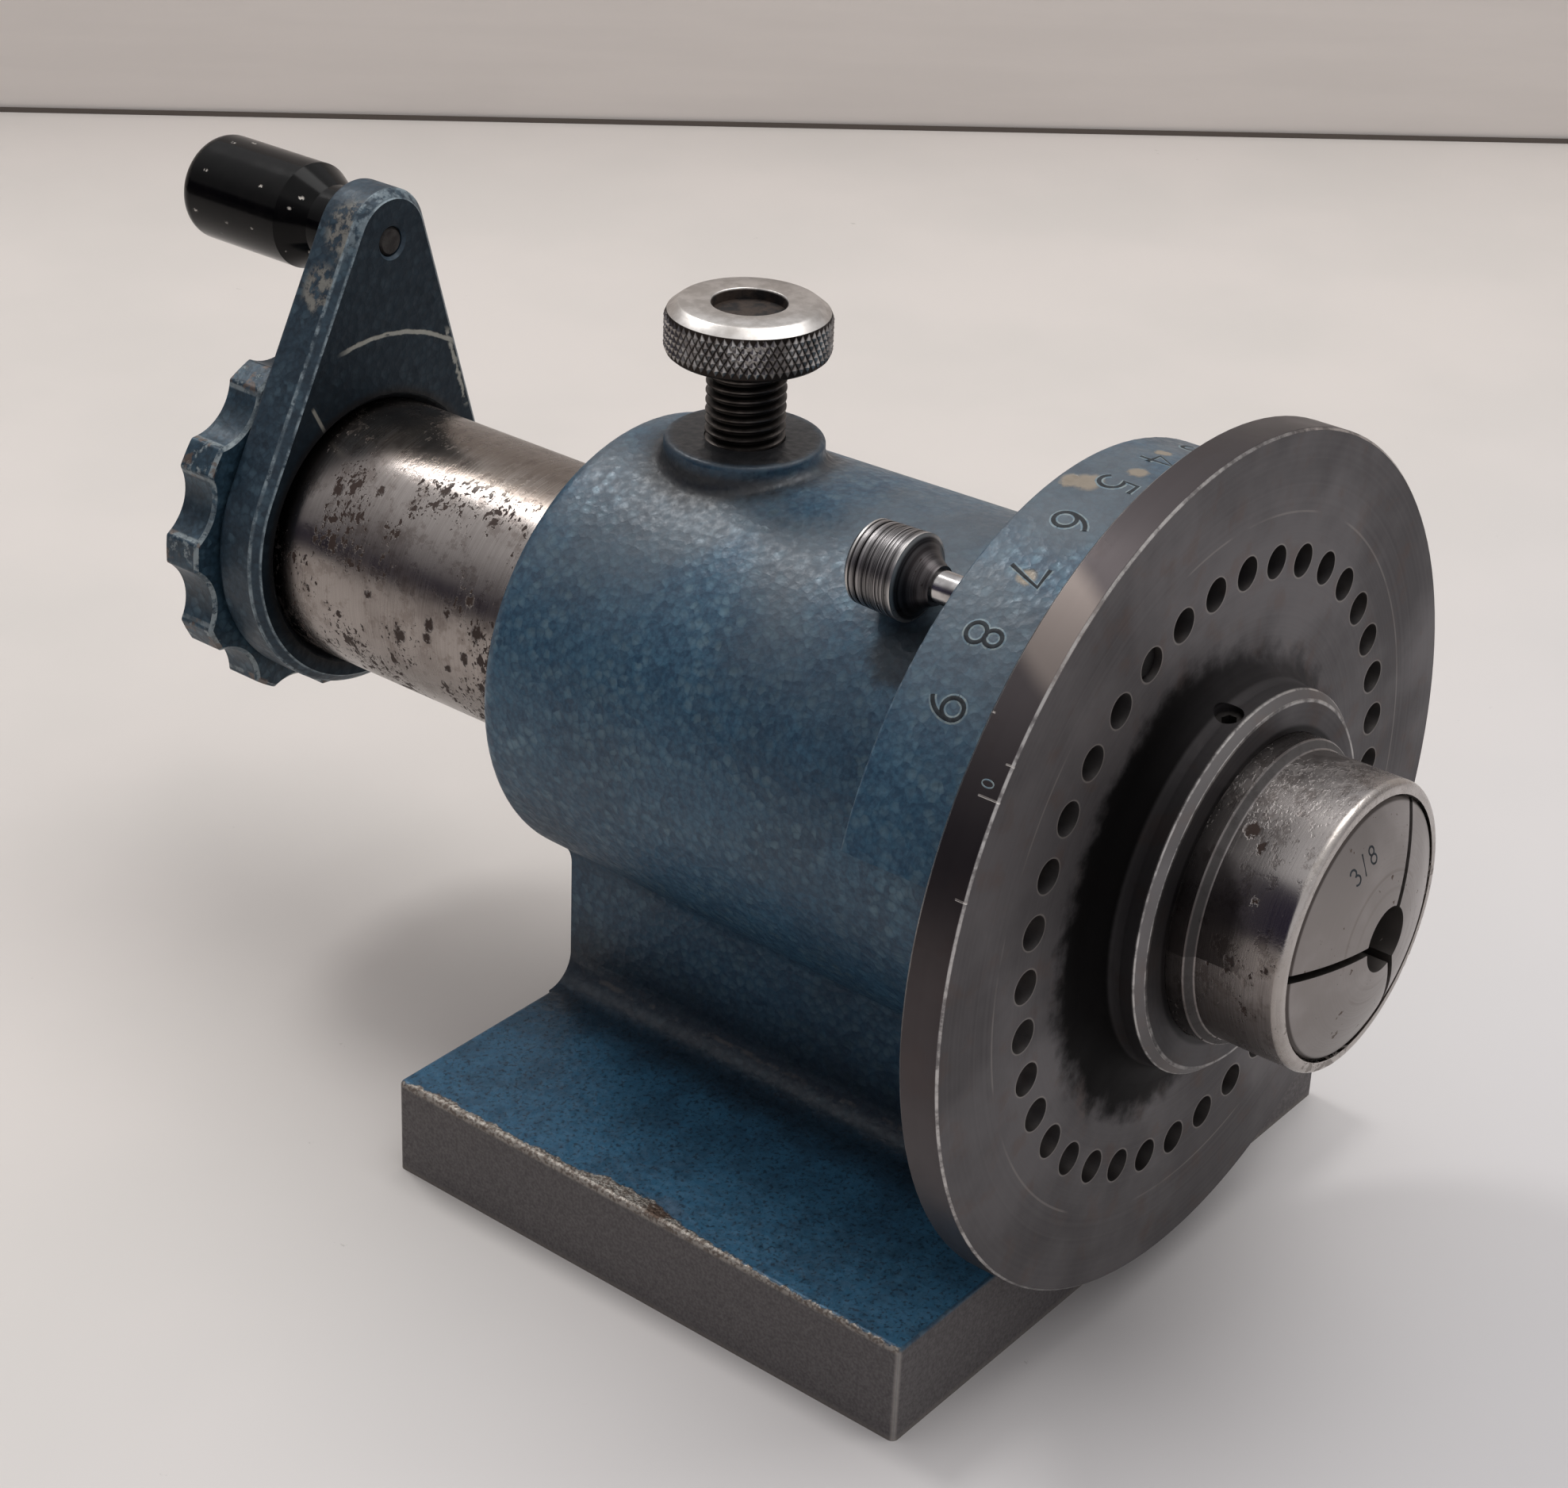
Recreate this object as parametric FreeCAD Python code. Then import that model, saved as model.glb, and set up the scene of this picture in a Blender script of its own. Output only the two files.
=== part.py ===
import FreeCAD
import Part
import math
import os
from FreeCAD import Vector

# Collet spin index fixture, in millimetres. X is to the right seen from the collet, Y runs back
# along the spindle from the collet to the crank, and Z is up. The origin is the middle of the
# base's underside, below the spindle.

# The collet, to the common 5C pattern
collet_bore_radius = 4.7625
collet_bore_length = 25.0
collet_rear_bore_radius = 13.2
collet_head_radius = 18.85
collet_rim_break = 0.35
collet_head_land = 2.4
collet_taper_angle = 10.0
collet_body_radius = 15.87
collet_length = 83.3
collet_thread_radius = 15.72
collet_thread_length = 15.9
collet_relief_length = 3.0
collet_relief_depth = 0.7
collet_dome_rise = 4.0
slot_count = 3
slot_width = 1.2
slot_length = 50.0
slot_angle = 57.9
keyway_width = 3.2
keyway_depth = 1.5
keyway_start = 26.0
keyway_length = 32.0
key_offset = 5.0
key_radius = 1.5

# Spindle and draw tube
mouth_gap = 0.35
taper_gap = 0.10
nose_lip = 1.8
nose_round = 1.1
nose_step = 1.225
nose_reach = 16.6
nose_band = 2.6
guide_end = 64.0
bare_length = 56.9
spindle_stub = 0.3
tube_wall = 2.1
tube_bore_radius = 14.3
tube_engagement = 15.0
tube_seat_step = 1.4
tube_stub = 0.6

# Index plate and its hub
plate_rim_land = 18.6
plate_thickness = 6.2
plate_edge = 0.4
hub_wall = 5.9
hub_length = 7.3
hub_chamfer = 1.25
hub_fillet = 4.0
index_count = 36
plate_screw_radius = 2.0
plate_screw_angle = 102.0
plate_screw_sink = 1.0

# Index pin
pin_angle = 118.0
pin_radius = 2.375
pin_tip_recess = 0.8
pin_tip_chamfer = 0.5
pin_exposure = 9.0
pin_grip = 9.0
pin_knob_radius = 6.35
pin_knob_draft = 0.3
pin_knob_collar = 2.85
pin_knob_edge = 0.7
pin_knob_gap = 0.2
pin_cone_length = 3.8
pin_cone_hollow = 0.5
pin_knob_length = 8.3
pin_groove_count = 6
pin_groove_depth = 0.12
pin_groove_width = 0.3

# Vernier sector at the front of the casting
vernier_count = 10
vernier_step = 11.0
vernier_pinned = 7
sector_rim_land = 10.4
sector_width = 18.2
sector_start = 16.5
sector_end = 163.5
sector_round = 0.5

# Casting
centre_height = 69.85
base_width = 112.0
base_length = 94.8
base_thickness = 15.9
base_corner = 1.0
base_edge = 0.8
web_width = 35.0
web_fillet = 5.0
barrel_wall_front = 15.35
barrel_wall_rear = 13.35
barrel_raise = 1.0
barrel_overhang = 3.1
barrel_round = 3.0
bore_chamfer = 0.8
face_overhang = 1.1

# Spindle lock
lock_inset = 20.7
boss_radius = 12.0
boss_rise = 2.6
boss_round = 0.8
boss_fillet = 2.0
stud_radius = 6.0
stud_neck = 1.0
stud_neck_depth = 0.6
lock_exposure = 13.1
knob_radius = 12.4
knob_height = 7.9
knob_top_chamfer = 1.4
knob_edge = 0.5
knob_recess = 1.7
knob_bore_radius = 5.45
shoe_height = 4.0
shoe_stem_radius = 2.2
shoe_stem_length = 3.0

# Crank, its grip and the draw wheel
crank_rim = 5.0
crank_throw = 49.1
crank_end_radius = 8.6
crank_angle = 84.5
crank_thickness = 8.7
crank_chamfer = 1.5
crank_edge = 0.8
crank_bore_chamfer = 1.1
crank_screw_radius = 2.5
crank_screw_angle = -15.0
bolt_thread_radius = 2.5
bolt_countersink = 0.5
bolt_shoulder_radius = 4.0
bolt_head_radius = 5.0
bolt_head_height = 3.0
bolt_slot_width = 1.2
grip_radius = 8.85
grip_neck_radius = 6.3
grip_neck_length = 4.4
grip_taper_length = 5.0
grip_length = 32.6
grip_round = 3.1
grip_pocket_depth = 4.2
wheel_rim = 13.5
wheel_thickness = 7.6
wheel_lobes = 12
wheel_scallop_radius = 8.3
wheel_scallop_depth = 2.8
wheel_corner = 0.7
wheel_edge = 0.6
wheel_lobe_angle = 27.0
wheel_screw_radius = 2.0
wheel_screw_sink = 3.0

# Clearances
running_gap = 0.05
face_gap = 0.3
pressed_gap = 0.02
thread_gap = 0.05
pocket_gap = 0.3

# How far a cutting tool runs past a face, and how deep a fused piece reaches into its neighbour
past = 1.0
root = 10.0

# Radii that follow from the collet outwards
mouth_radius = collet_head_radius + mouth_gap
nose_radius = mouth_radius + nose_lip
spindle_radius = nose_radius + nose_step
guide_radius = collet_body_radius + running_gap
tube_thread_radius = collet_thread_radius + thread_gap
tube_radius = tube_thread_radius + tube_wall
tube_seat_radius = tube_radius - tube_seat_step
tube_way_radius = tube_radius + 2 * running_gap
spindle_bore_radius = spindle_radius + running_gap
hub_radius = spindle_radius + hub_wall
crank_big_radius = spindle_radius + crank_rim
wheel_radius = tube_radius + wheel_rim
wheel_valley_radius = wheel_radius - wheel_scallop_depth
index_hole_radius = pin_radius + running_gap

# Stations along the spindle, from the casting's faces outwards
base_front = -base_length / 2
base_back = base_length / 2
face_front = base_front - face_overhang
face_rear = base_back + barrel_overhang
sector_rear = face_front + sector_width
plate_rear = face_front - face_gap
plate_front = plate_rear - plate_thickness
hub_front = plate_front - hub_length
nose_front = hub_front - nose_reach
guide_rear = nose_front + guide_end
collet_rear = nose_front + collet_length
thread_front = collet_rear - collet_thread_length
tube_front = collet_rear - tube_engagement
crank_front = face_rear + bare_length
crank_rear = crank_front + crank_thickness
spindle_rear = crank_rear + spindle_stub
wheel_front = spindle_rear + face_gap
wheel_rear = wheel_front + wheel_thickness
tube_rear = wheel_rear + tube_stub
grip_front = crank_rear + face_gap
grip_rear = grip_front + grip_length
knob_nose = sector_rear + pin_exposure
knob_rim = knob_nose + pin_cone_length
knob_rear = knob_rim + pin_knob_length
pin_tip = plate_front + pin_tip_recess
lock_y = face_rear - lock_inset
key_y = plate_front + key_offset
plate_screw_y = hub_front + hub_length / 2
crank_screw_y = (crank_front + crank_rear) / 2
wheel_screw_y = (wheel_front + wheel_rear) / 2
wheel_screw_angle = wheel_lobe_angle - 180.0 / wheel_lobes
pocket_floor = grip_rear - grip_pocket_depth

axis_y = Vector(0, 1, 0)
axis_z = Vector(0, 0, 1)
side_x = Vector(1, 0, 0)
spindle_line = Vector(0, 0, centre_height)


def barrel_radius(y):
    """Outside radius of the drafted barrel at a station along the spindle."""
    front = spindle_radius + barrel_wall_front
    rear = spindle_radius + barrel_wall_rear
    return front + (rear - front) * (y - face_front) / (face_rear - face_front)


def hole_circle():
    """Radius on which the index pin's knob just clears the barrel, whose middle is raised."""
    reach = barrel_radius(knob_rim) + pin_knob_radius + pin_knob_gap
    lift = math.sin(math.radians(pin_angle))
    across = barrel_raise * math.cos(math.radians(pin_angle))
    return barrel_raise * lift + math.sqrt(reach ** 2 - across ** 2)


hole_circle_radius = hole_circle()
plate_radius = hole_circle_radius + plate_rim_land
sector_radius = hole_circle_radius + sector_rim_land
boss_top = centre_height + barrel_raise + barrel_radius(lock_y) + boss_rise
knob_bottom = boss_top + lock_exposure
knob_top = knob_bottom + knob_height
shoe_bottom = centre_height + spindle_radius + face_gap
shoe_top = shoe_bottom + shoe_height
stud_bottom = shoe_top + face_gap


def polar(radius, angle, y=0.0):
    """Point at a radius and angle round the spindle, counted from +X towards +Z."""
    turn = math.radians(angle)
    return Vector(radius * math.cos(turn), y, centre_height + radius * math.sin(turn))


def outward(angle):
    turn = math.radians(angle)
    return Vector(math.cos(turn), 0, math.sin(turn))


def closed_wire(path, place):
    """Wire through a path whose steps are end points, or a mid point and an end point of an arc."""
    first = place(*path[0])
    start = first
    edges = []
    for step in path[1:]:
        end = place(*step[-2:])
        if len(step) == 4:
            edges.append(Part.Arc(start, place(*step[:2]), end).toShape())
        else:
            edges.append(Part.makeLine(start, end))
        start = end
    if start.distanceToPoint(first) > 1e-6:
        edges.append(Part.makeLine(start, first))
    return Part.Wire(edges)


def turned(path, origin=spindle_line, axis=axis_y, side=side_x):
    """Solid of revolution of a path of (radius, distance along the axis) steps."""
    wire = closed_wire(path, lambda radius, along: origin + side * radius + axis * along)
    return Part.Face(wire).revolve(origin, axis, 360)


def rounded(radius, along, size, turn_out, turn_along):
    """Arc step that rounds a turned corner: from one face to the next through the arc's middle."""
    slack = size * (1 - math.sqrt(0.5))
    return (radius - turn_out * slack, along - turn_along * slack)


def bar(radius, start, end, origin=spindle_line, axis=axis_y):
    return Part.makeCylinder(radius, end - start, origin + axis * start, axis)


def prism(path, start, end):
    """Plate with an outline of (x, z) steps, from one station along the spindle to another."""
    wire = closed_wire(path, lambda x, z: Vector(x, start, z))
    return Part.Face(wire).extrude(axis_y * (end - start))


def edges_where(shape, test):
    return [edge for edge in shape.Edges if test(edge)]


def ring_of_holes(radius, count, step, first_angle, start, end):
    """Holes along the spindle's direction, evenly spaced on the index circle."""
    holes = []
    for index in range(count):
        centre = polar(hole_circle_radius, first_angle + step * index)
        holes.append(bar(radius, start, end, centre))
    return holes


def set_screw(thread_radius, inner, outer, y, angle):
    """Headless screw pointing at the spindle, with a hexagon socket in its outer end."""
    foot = polar(inner, angle, y)
    body = Part.makeCylinder(thread_radius, outer - inner, foot, outward(angle))
    flat = thread_radius * 0.5
    depth = min(thread_radius, (outer - inner) / 2)
    corner = flat / math.cos(math.radians(30))
    across = outward(angle).cross(axis_y)
    top = polar(outer, angle, y)
    ring = []
    for index in range(7):
        turn = math.radians(60 * index)
        ring.append(top + axis_y * (corner * math.cos(turn)) + across * (corner * math.sin(turn)))
    socket = Part.Face(Part.makePolygon(ring)).extrude(outward(angle) * -depth)
    return body.cut(socket)


def screw_hole(thread_radius, inner, outer, y, angle):
    foot = polar(inner, angle, y)
    return Part.makeCylinder(thread_radius + pressed_gap, outer - inner, foot, outward(angle))


# Housing: one iron casting with base, web, barrel, lock boss and vernier sector

def base_block():
    corner = Vector(-base_width / 2, base_front, 0)
    block = Part.makeBox(base_width, base_length, base_thickness, corner)
    upright = edges_where(block, lambda edge: edge.BoundBox.ZLength > base_thickness / 2)
    block = block.makeFillet(base_corner, upright)
    rim = edges_where(block, lambda edge: edge.BoundBox.ZMin > base_thickness - 0.01)
    return block.makeFillet(base_edge, rim)


def web_block():
    """Neck between base and barrel, with coves at its foot and under the barrel."""
    half = web_width / 2
    foot = base_thickness
    middle = centre_height + barrel_raise
    under = barrel_radius(face_rear)
    cove_x = half + web_fillet
    cove_z = middle - math.sqrt((under + web_fillet) ** 2 - cove_x ** 2)
    share = under / (under + web_fillet)
    touch_x = cove_x * share
    touch_z = middle + (cove_z - middle) * share
    toward = math.hypot(cove_x - half + cove_x - touch_x, touch_z - cove_z)
    mid_x = cove_x - web_fillet * (2 * cove_x - half - touch_x) / toward
    mid_z = cove_z + web_fillet * (touch_z - cove_z) / toward
    slack = web_fillet * (1 - math.sqrt(0.5))
    path = [
        (-cove_x, foot - past), (cove_x, foot - past), (cove_x, foot),
        (half + slack, foot + slack, half, foot + web_fillet),
        (half, cove_z), (mid_x, mid_z, touch_x, touch_z),
        (0, middle),
        (-touch_x, touch_z), (-mid_x, mid_z, -half, cove_z),
        (-half, foot + web_fillet), (-half - slack, foot + slack, -cove_x, foot),
    ]
    return prism(path, base_front, base_back)


def barrel_block():
    rear_radius = barrel_radius(face_rear)
    front_radius = barrel_radius(face_front)
    path = [
        (0, face_front), (front_radius, face_front), (rear_radius, face_rear - barrel_round),
        rounded(rear_radius, face_rear, barrel_round, 1, 1) + (rear_radius - barrel_round, face_rear),
        (0, face_rear),
    ]
    return turned(path, spindle_line + axis_z * barrel_raise)


def lock_boss():
    start = centre_height + spindle_radius
    path = [
        (0, start), (boss_radius, start), (boss_radius, boss_top - boss_round),
        rounded(boss_radius, boss_top, boss_round, 1, 1) + (boss_radius - boss_round, boss_top),
        (0, boss_top),
    ]
    return turned(path, Vector(0, lock_y, 0), axis_z, side_x)


def sector_block():
    """Raised arc behind the plate that carries the ten vernier holes."""
    inner = barrel_radius(face_rear) - root
    middle = (sector_start + sector_end) / 2
    outer_mid = polar(sector_radius, middle)
    inner_mid = polar(inner, middle)
    outer_end = polar(sector_radius, sector_end)
    inner_end = polar(inner, sector_end)
    outer_start = polar(sector_radius, sector_start)
    inner_start = polar(inner, sector_start)
    path = [
        (outer_start.x, outer_start.z), (outer_mid.x, outer_mid.z, outer_end.x, outer_end.z),
        (inner_end.x, inner_end.z), (inner_mid.x, inner_mid.z, inner_start.x, inner_start.z),
    ]
    block = prism(path, face_front, sector_rear)
    rim = edges_where(
        block,
        lambda edge: edge.Length > sector_radius and edge.BoundBox.ZMax > outer_mid.z - 0.1
        and edge.BoundBox.YMin > sector_rear - 0.01,
    )
    return block.makeFillet(sector_round, rim)


def housing():
    barrel = barrel_block().fuse(lock_boss())
    foot = edges_where(
        barrel,
        lambda edge: abs(edge.BoundBox.XLength - 2 * boss_radius) < 0.2
        and edge.BoundBox.ZMax < boss_top - boss_round - 0.1
        and edge.BoundBox.ZMin > centre_height + spindle_radius + past,
    )
    barrel = barrel.makeFillet(boss_fillet, foot)
    body = base_block().fuse([web_block(), barrel, sector_block()])
    bore = bar(spindle_bore_radius, face_front - past, face_rear + past)
    front_cone = Part.makeCone(
        spindle_bore_radius + bore_chamfer, spindle_bore_radius, bore_chamfer,
        spindle_line + axis_y * face_front, axis_y)
    rear_cone = Part.makeCone(
        spindle_bore_radius, spindle_bore_radius + bore_chamfer, bore_chamfer,
        spindle_line + axis_y * (face_rear - bore_chamfer), axis_y)
    lock_hole = bar(stud_radius + thread_gap, centre_height, boss_top + past, Vector(0, lock_y, 0), axis_z)
    first = pin_angle - vernier_step * vernier_pinned
    holes = ring_of_holes(
        index_hole_radius, vernier_count, vernier_step, first, face_front - past, sector_rear + past)
    return body.cut([bore, front_cone, rear_cone, lock_hole] + holes).removeSplitter()


# Index plate: disc and hub in one piece, with a ring of index holes

def index_plate():
    bore = spindle_bore_radius
    slack = hub_fillet * (1 - math.sqrt(0.5))
    path = [
        (bore, hub_front), (hub_radius - hub_chamfer, hub_front), (hub_radius, hub_front + hub_chamfer),
        (hub_radius, plate_front - hub_fillet),
        (hub_radius + slack, plate_front - slack, hub_radius + hub_fillet, plate_front),
        (plate_radius - plate_edge, plate_front), (plate_radius, plate_front + plate_edge),
        (plate_radius, plate_rear - plate_edge), (plate_radius - plate_edge, plate_rear),
        (bore, plate_rear),
    ]
    step = 360.0 / index_count
    holes = ring_of_holes(
        index_hole_radius, index_count, step, pin_angle, plate_front - past, plate_rear + past)
    return turned(path).cut(holes + [plate_screw_hole()])


def plate_screw_hole():
    return screw_hole(
        plate_screw_radius, spindle_radius - past, hub_radius + past, plate_screw_y, plate_screw_angle)


def plate_set_screw():
    return set_screw(
        plate_screw_radius, spindle_radius + face_gap / 2, hub_radius - plate_screw_sink,
        plate_screw_y, plate_screw_angle)


# Spindle: hollow, ground outside, with the collet's taper in its nose

def taper_length(from_radius, to_radius):
    return (from_radius - to_radius) / math.tan(math.radians(collet_taper_angle))


def spindle():
    land_end = nose_front + collet_head_land + taper_gap
    taper_mouth = collet_head_radius + taper_gap
    taper_end = land_end + taper_length(taper_mouth, guide_radius)
    band_front = hub_front - nose_band
    path = [
        (mouth_radius, nose_front), (nose_radius - nose_round, nose_front),
        rounded(nose_radius, nose_front, nose_round, 1, -1) + (nose_radius, nose_front + nose_round),
        (nose_radius, band_front - nose_step), (spindle_radius, band_front),
        (spindle_radius, spindle_rear - bore_chamfer), (spindle_radius - bore_chamfer, spindle_rear),
        (tube_way_radius, spindle_rear), (tube_way_radius, guide_rear),
        (guide_radius, guide_rear), (guide_radius, taper_end),
        (taper_mouth, land_end), (mouth_radius, land_end),
    ]
    key_hole = bar(key_radius + pressed_gap, guide_radius - past, spindle_radius + past, key_foot(), -axis_z)
    return turned(path).cut(key_hole)


def key_foot():
    return Vector(0, key_y, centre_height)


def collet_key():
    """Pin through the underside of the spindle that keeps the collet from turning."""
    inner = collet_body_radius - keyway_depth + face_gap
    return bar(key_radius, inner, spindle_radius - face_gap, key_foot(), -axis_z)


# Collet: spring steel sleeve with a domed face, a taper and three slots

def collet():
    rim_radius = collet_head_radius - collet_rim_break
    dome_radius = (rim_radius ** 2 + collet_dome_rise ** 2) / (2 * collet_dome_rise)
    dome_centre = nose_front - collet_dome_rise + dome_radius

    def dome_y(radius):
        return dome_centre - math.sqrt(dome_radius ** 2 - radius ** 2)

    land_end = nose_front + collet_head_land
    taper_end = land_end + taper_length(collet_head_radius, collet_body_radius)
    mouth = collet_bore_radius
    half_way = (mouth + rim_radius) / 2
    relief_radius = collet_thread_radius - collet_relief_depth
    bore_end = nose_front + collet_bore_length
    path = [
        (mouth, dome_y(mouth)), (half_way, dome_y(half_way), rim_radius, nose_front),
        (collet_head_radius, nose_front + collet_rim_break), (collet_head_radius, land_end),
        (collet_body_radius, taper_end), (collet_body_radius, thread_front - collet_relief_length),
        (relief_radius, thread_front - collet_relief_length), (relief_radius, thread_front),
        (collet_thread_radius, thread_front), (collet_thread_radius, collet_rear),
        (collet_rear_bore_radius, collet_rear), (collet_rear_bore_radius, bore_end),
        (mouth, bore_end),
    ]
    front = nose_front - collet_dome_rise - past
    cuts = []
    for index in range(slot_count):
        angle = slot_angle + 360.0 / slot_count * index
        slot = Part.makeBox(
            collet_head_radius + past, nose_front + slot_length - front, slot_width,
            Vector(0, front, -slot_width / 2))
        slot.rotate(Vector(0, 0, 0), axis_y, -angle)
        slot.translate(spindle_line)
        cuts.append(slot)
    keyway_foot = centre_height - collet_body_radius - past
    cuts.append(Part.makeBox(
        keyway_width, keyway_length, keyway_depth + past,
        Vector(-keyway_width / 2, nose_front + keyway_start, keyway_foot)))
    return turned(path).cut(cuts)


# Draw tube and its scalloped wheel

def draw_tube():
    thread_end = tube_front + tube_engagement + face_gap
    path = [
        (tube_thread_radius, tube_front), (tube_radius, tube_front), (tube_radius, wheel_front),
        (tube_seat_radius, wheel_front), (tube_seat_radius, tube_rear),
        (tube_bore_radius, tube_rear), (tube_bore_radius, thread_end), (tube_thread_radius, thread_end),
    ]
    return turned(path)


def handwheel():
    """Disc with scallops milled into its rim, so that short lands are left between them."""
    blank = bar(wheel_radius, wheel_front, wheel_rear)
    pitch = 360.0 / wheel_lobes
    scallops = []
    for index in range(wheel_lobes):
        angle = wheel_lobe_angle + pitch * (index + 0.5)
        centre = polar(wheel_valley_radius + wheel_scallop_radius, angle)
        scallops.append(bar(wheel_scallop_radius, wheel_front - past, wheel_rear + past, centre))
    blank = blank.cut(scallops)
    corners = edges_where(
        blank, lambda edge: edge.BoundBox.YLength > wheel_thickness / 2
        and edge.BoundBox.XLength + edge.BoundBox.ZLength < wheel_corner and len(edge.Vertexes) == 2)
    blank = blank.makeFillet(wheel_corner, corners)
    rim = edges_where(blank, lambda edge: edge.BoundBox.YLength < 0.01)
    blank = blank.makeChamfer(wheel_edge, rim)
    bore = bar(tube_seat_radius + pressed_gap, wheel_front - past, wheel_rear + past)
    hole = screw_hole(
        wheel_screw_radius, tube_seat_radius - past, wheel_radius + past, wheel_screw_y, wheel_screw_angle)
    return blank.cut([bore, hole])


def wheel_set_screw():
    return set_screw(
        wheel_screw_radius, tube_seat_radius + face_gap / 2, wheel_valley_radius - wheel_screw_sink,
        wheel_screw_y, wheel_screw_angle)


# Crank: teardrop plate, its turning grip and the bolt that carries the grip

def crank_pin_centre():
    return polar(crank_throw, crank_angle)


def crank_arm():
    spread = math.degrees(math.acos((crank_big_radius - crank_end_radius) / crank_throw))
    pin = crank_pin_centre()

    def big(angle):
        point = polar(crank_big_radius, angle)
        return (point.x, point.z)

    def small(angle):
        point = pin + outward(angle) * crank_end_radius
        return (point.x, point.z)

    path = [
        small(crank_angle - spread), small(crank_angle) + small(crank_angle + spread),
        big(crank_angle + spread), big(crank_angle + 180) + big(crank_angle - spread),
    ]
    blank = prism(path, crank_front, crank_rear)
    front = edges_where(blank, lambda edge: edge.BoundBox.YMax < crank_front + 0.01)
    blank = blank.makeChamfer(crank_chamfer, front)
    rear = edges_where(blank, lambda edge: edge.BoundBox.YMin > crank_rear - 0.01)
    blank = blank.makeFillet(crank_edge, rear)
    bore_radius = spindle_bore_radius
    bore = bar(bore_radius, crank_front - past, crank_rear + past)
    cone = Part.makeCone(
        bore_radius + crank_bore_chamfer, bore_radius, crank_bore_chamfer,
        spindle_line + axis_y * crank_front, axis_y)
    hole_radius = bolt_thread_radius + pressed_gap
    pin_hole = bar(hole_radius, crank_front - past, crank_rear + past, pin)
    sink = Part.makeCone(
        hole_radius + bolt_countersink, hole_radius, bolt_countersink, pin + axis_y * crank_front, axis_y)
    side_hole = screw_hole(
        crank_screw_radius, spindle_radius - past, crank_big_radius + past, crank_screw_y, crank_screw_angle)
    return blank.cut([bore, cone, pin_hole, sink, side_hole])


def crank_set_screw():
    return set_screw(
        crank_screw_radius, spindle_radius + face_gap / 2, crank_big_radius - face_gap,
        crank_screw_y, crank_screw_angle)


def crank_bolt():
    """Shoulder bolt: its thread ends flush with the crank's front, its head lies in the grip."""
    head_front = pocket_floor + face_gap
    head_rear = head_front + bolt_head_height
    path = [
        (0, crank_front + face_gap), (bolt_thread_radius - bolt_countersink, crank_front + face_gap),
        (bolt_thread_radius, crank_front + face_gap + bolt_countersink),
        (bolt_thread_radius, crank_rear), (bolt_shoulder_radius, crank_rear),
        (bolt_shoulder_radius, head_front), (bolt_head_radius, head_front),
        (bolt_head_radius, head_rear), (0, head_rear),
    ]
    pin = crank_pin_centre()
    slot_foot = Vector(-bolt_head_radius - past, -bolt_head_height / 2, -bolt_slot_width / 2)
    slot = Part.makeBox(
        2 * (bolt_head_radius + past), bolt_head_height, bolt_slot_width,
        pin + axis_y * head_rear + slot_foot)
    return turned(path, pin).cut(slot)


def handle_grip():
    bore = bolt_shoulder_radius + running_gap
    pocket = bolt_head_radius + pocket_gap
    round_off = min(grip_round, grip_radius - pocket - pocket_gap)
    cone_front = grip_front + grip_neck_length
    cone_rear = cone_front + grip_taper_length
    path = [
        (bore, grip_front), (grip_neck_radius, grip_front), (grip_neck_radius, cone_front),
        (grip_radius, cone_rear), (grip_radius, grip_rear - round_off),
        rounded(grip_radius, grip_rear, round_off, 1, 1) + (grip_radius - round_off, grip_rear),
        (pocket, grip_rear), (pocket, pocket_floor), (bore, pocket_floor),
    ]
    return turned(path, crank_pin_centre())


# Spindle lock: threaded stud, knurled knob and brass shoe

def lock_stud():
    """Threaded stud whose plain top is pressed into the knob."""
    neck = stud_radius - stud_neck_depth
    path = [
        (shoe_stem_radius + running_gap, stud_bottom), (stud_radius, stud_bottom),
        (stud_radius, knob_bottom - stud_neck), (neck, knob_bottom - stud_neck),
        (neck, knob_top - knob_recess), (0, knob_top - knob_recess),
        (0, shoe_top + shoe_stem_length + face_gap),
        (shoe_stem_radius + running_gap, shoe_top + shoe_stem_length + face_gap),
    ]
    return turned(path, Vector(0, lock_y, 0), axis_z)


def lock_knob():
    neck = stud_radius - stud_neck_depth + pressed_gap
    path = [
        (neck, knob_bottom), (knob_radius - knob_edge, knob_bottom), (knob_radius, knob_bottom + knob_edge),
        (knob_radius, knob_top - knob_top_chamfer), (knob_radius - knob_top_chamfer, knob_top),
        (knob_bore_radius, knob_top), (knob_bore_radius, knob_top - knob_recess),
        (neck, knob_top - knob_recess),
    ]
    return turned(path, Vector(0, lock_y, 0), axis_z)


def lock_shoe():
    """Brass pad between the stud and the spindle; its stem keeps it on the stud."""
    pad = stud_radius - face_gap
    path = [
        (0, shoe_bottom), (pad, shoe_bottom), (pad, shoe_top), (shoe_stem_radius, shoe_top),
        (shoe_stem_radius, shoe_top + shoe_stem_length), (0, shoe_top + shoe_stem_length),
    ]
    return turned(path, Vector(0, lock_y, 0), axis_z)


# Index pin and its turned knob

def pin_centre():
    return polar(hole_circle_radius, pin_angle)


def index_pin():
    path = [
        (0, pin_tip), (pin_radius - pin_tip_chamfer, pin_tip), (pin_radius, pin_tip + pin_tip_chamfer),
        (pin_radius, knob_nose + pin_grip), (0, knob_nose + pin_grip),
    ]
    return turned(path, pin_centre())


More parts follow.
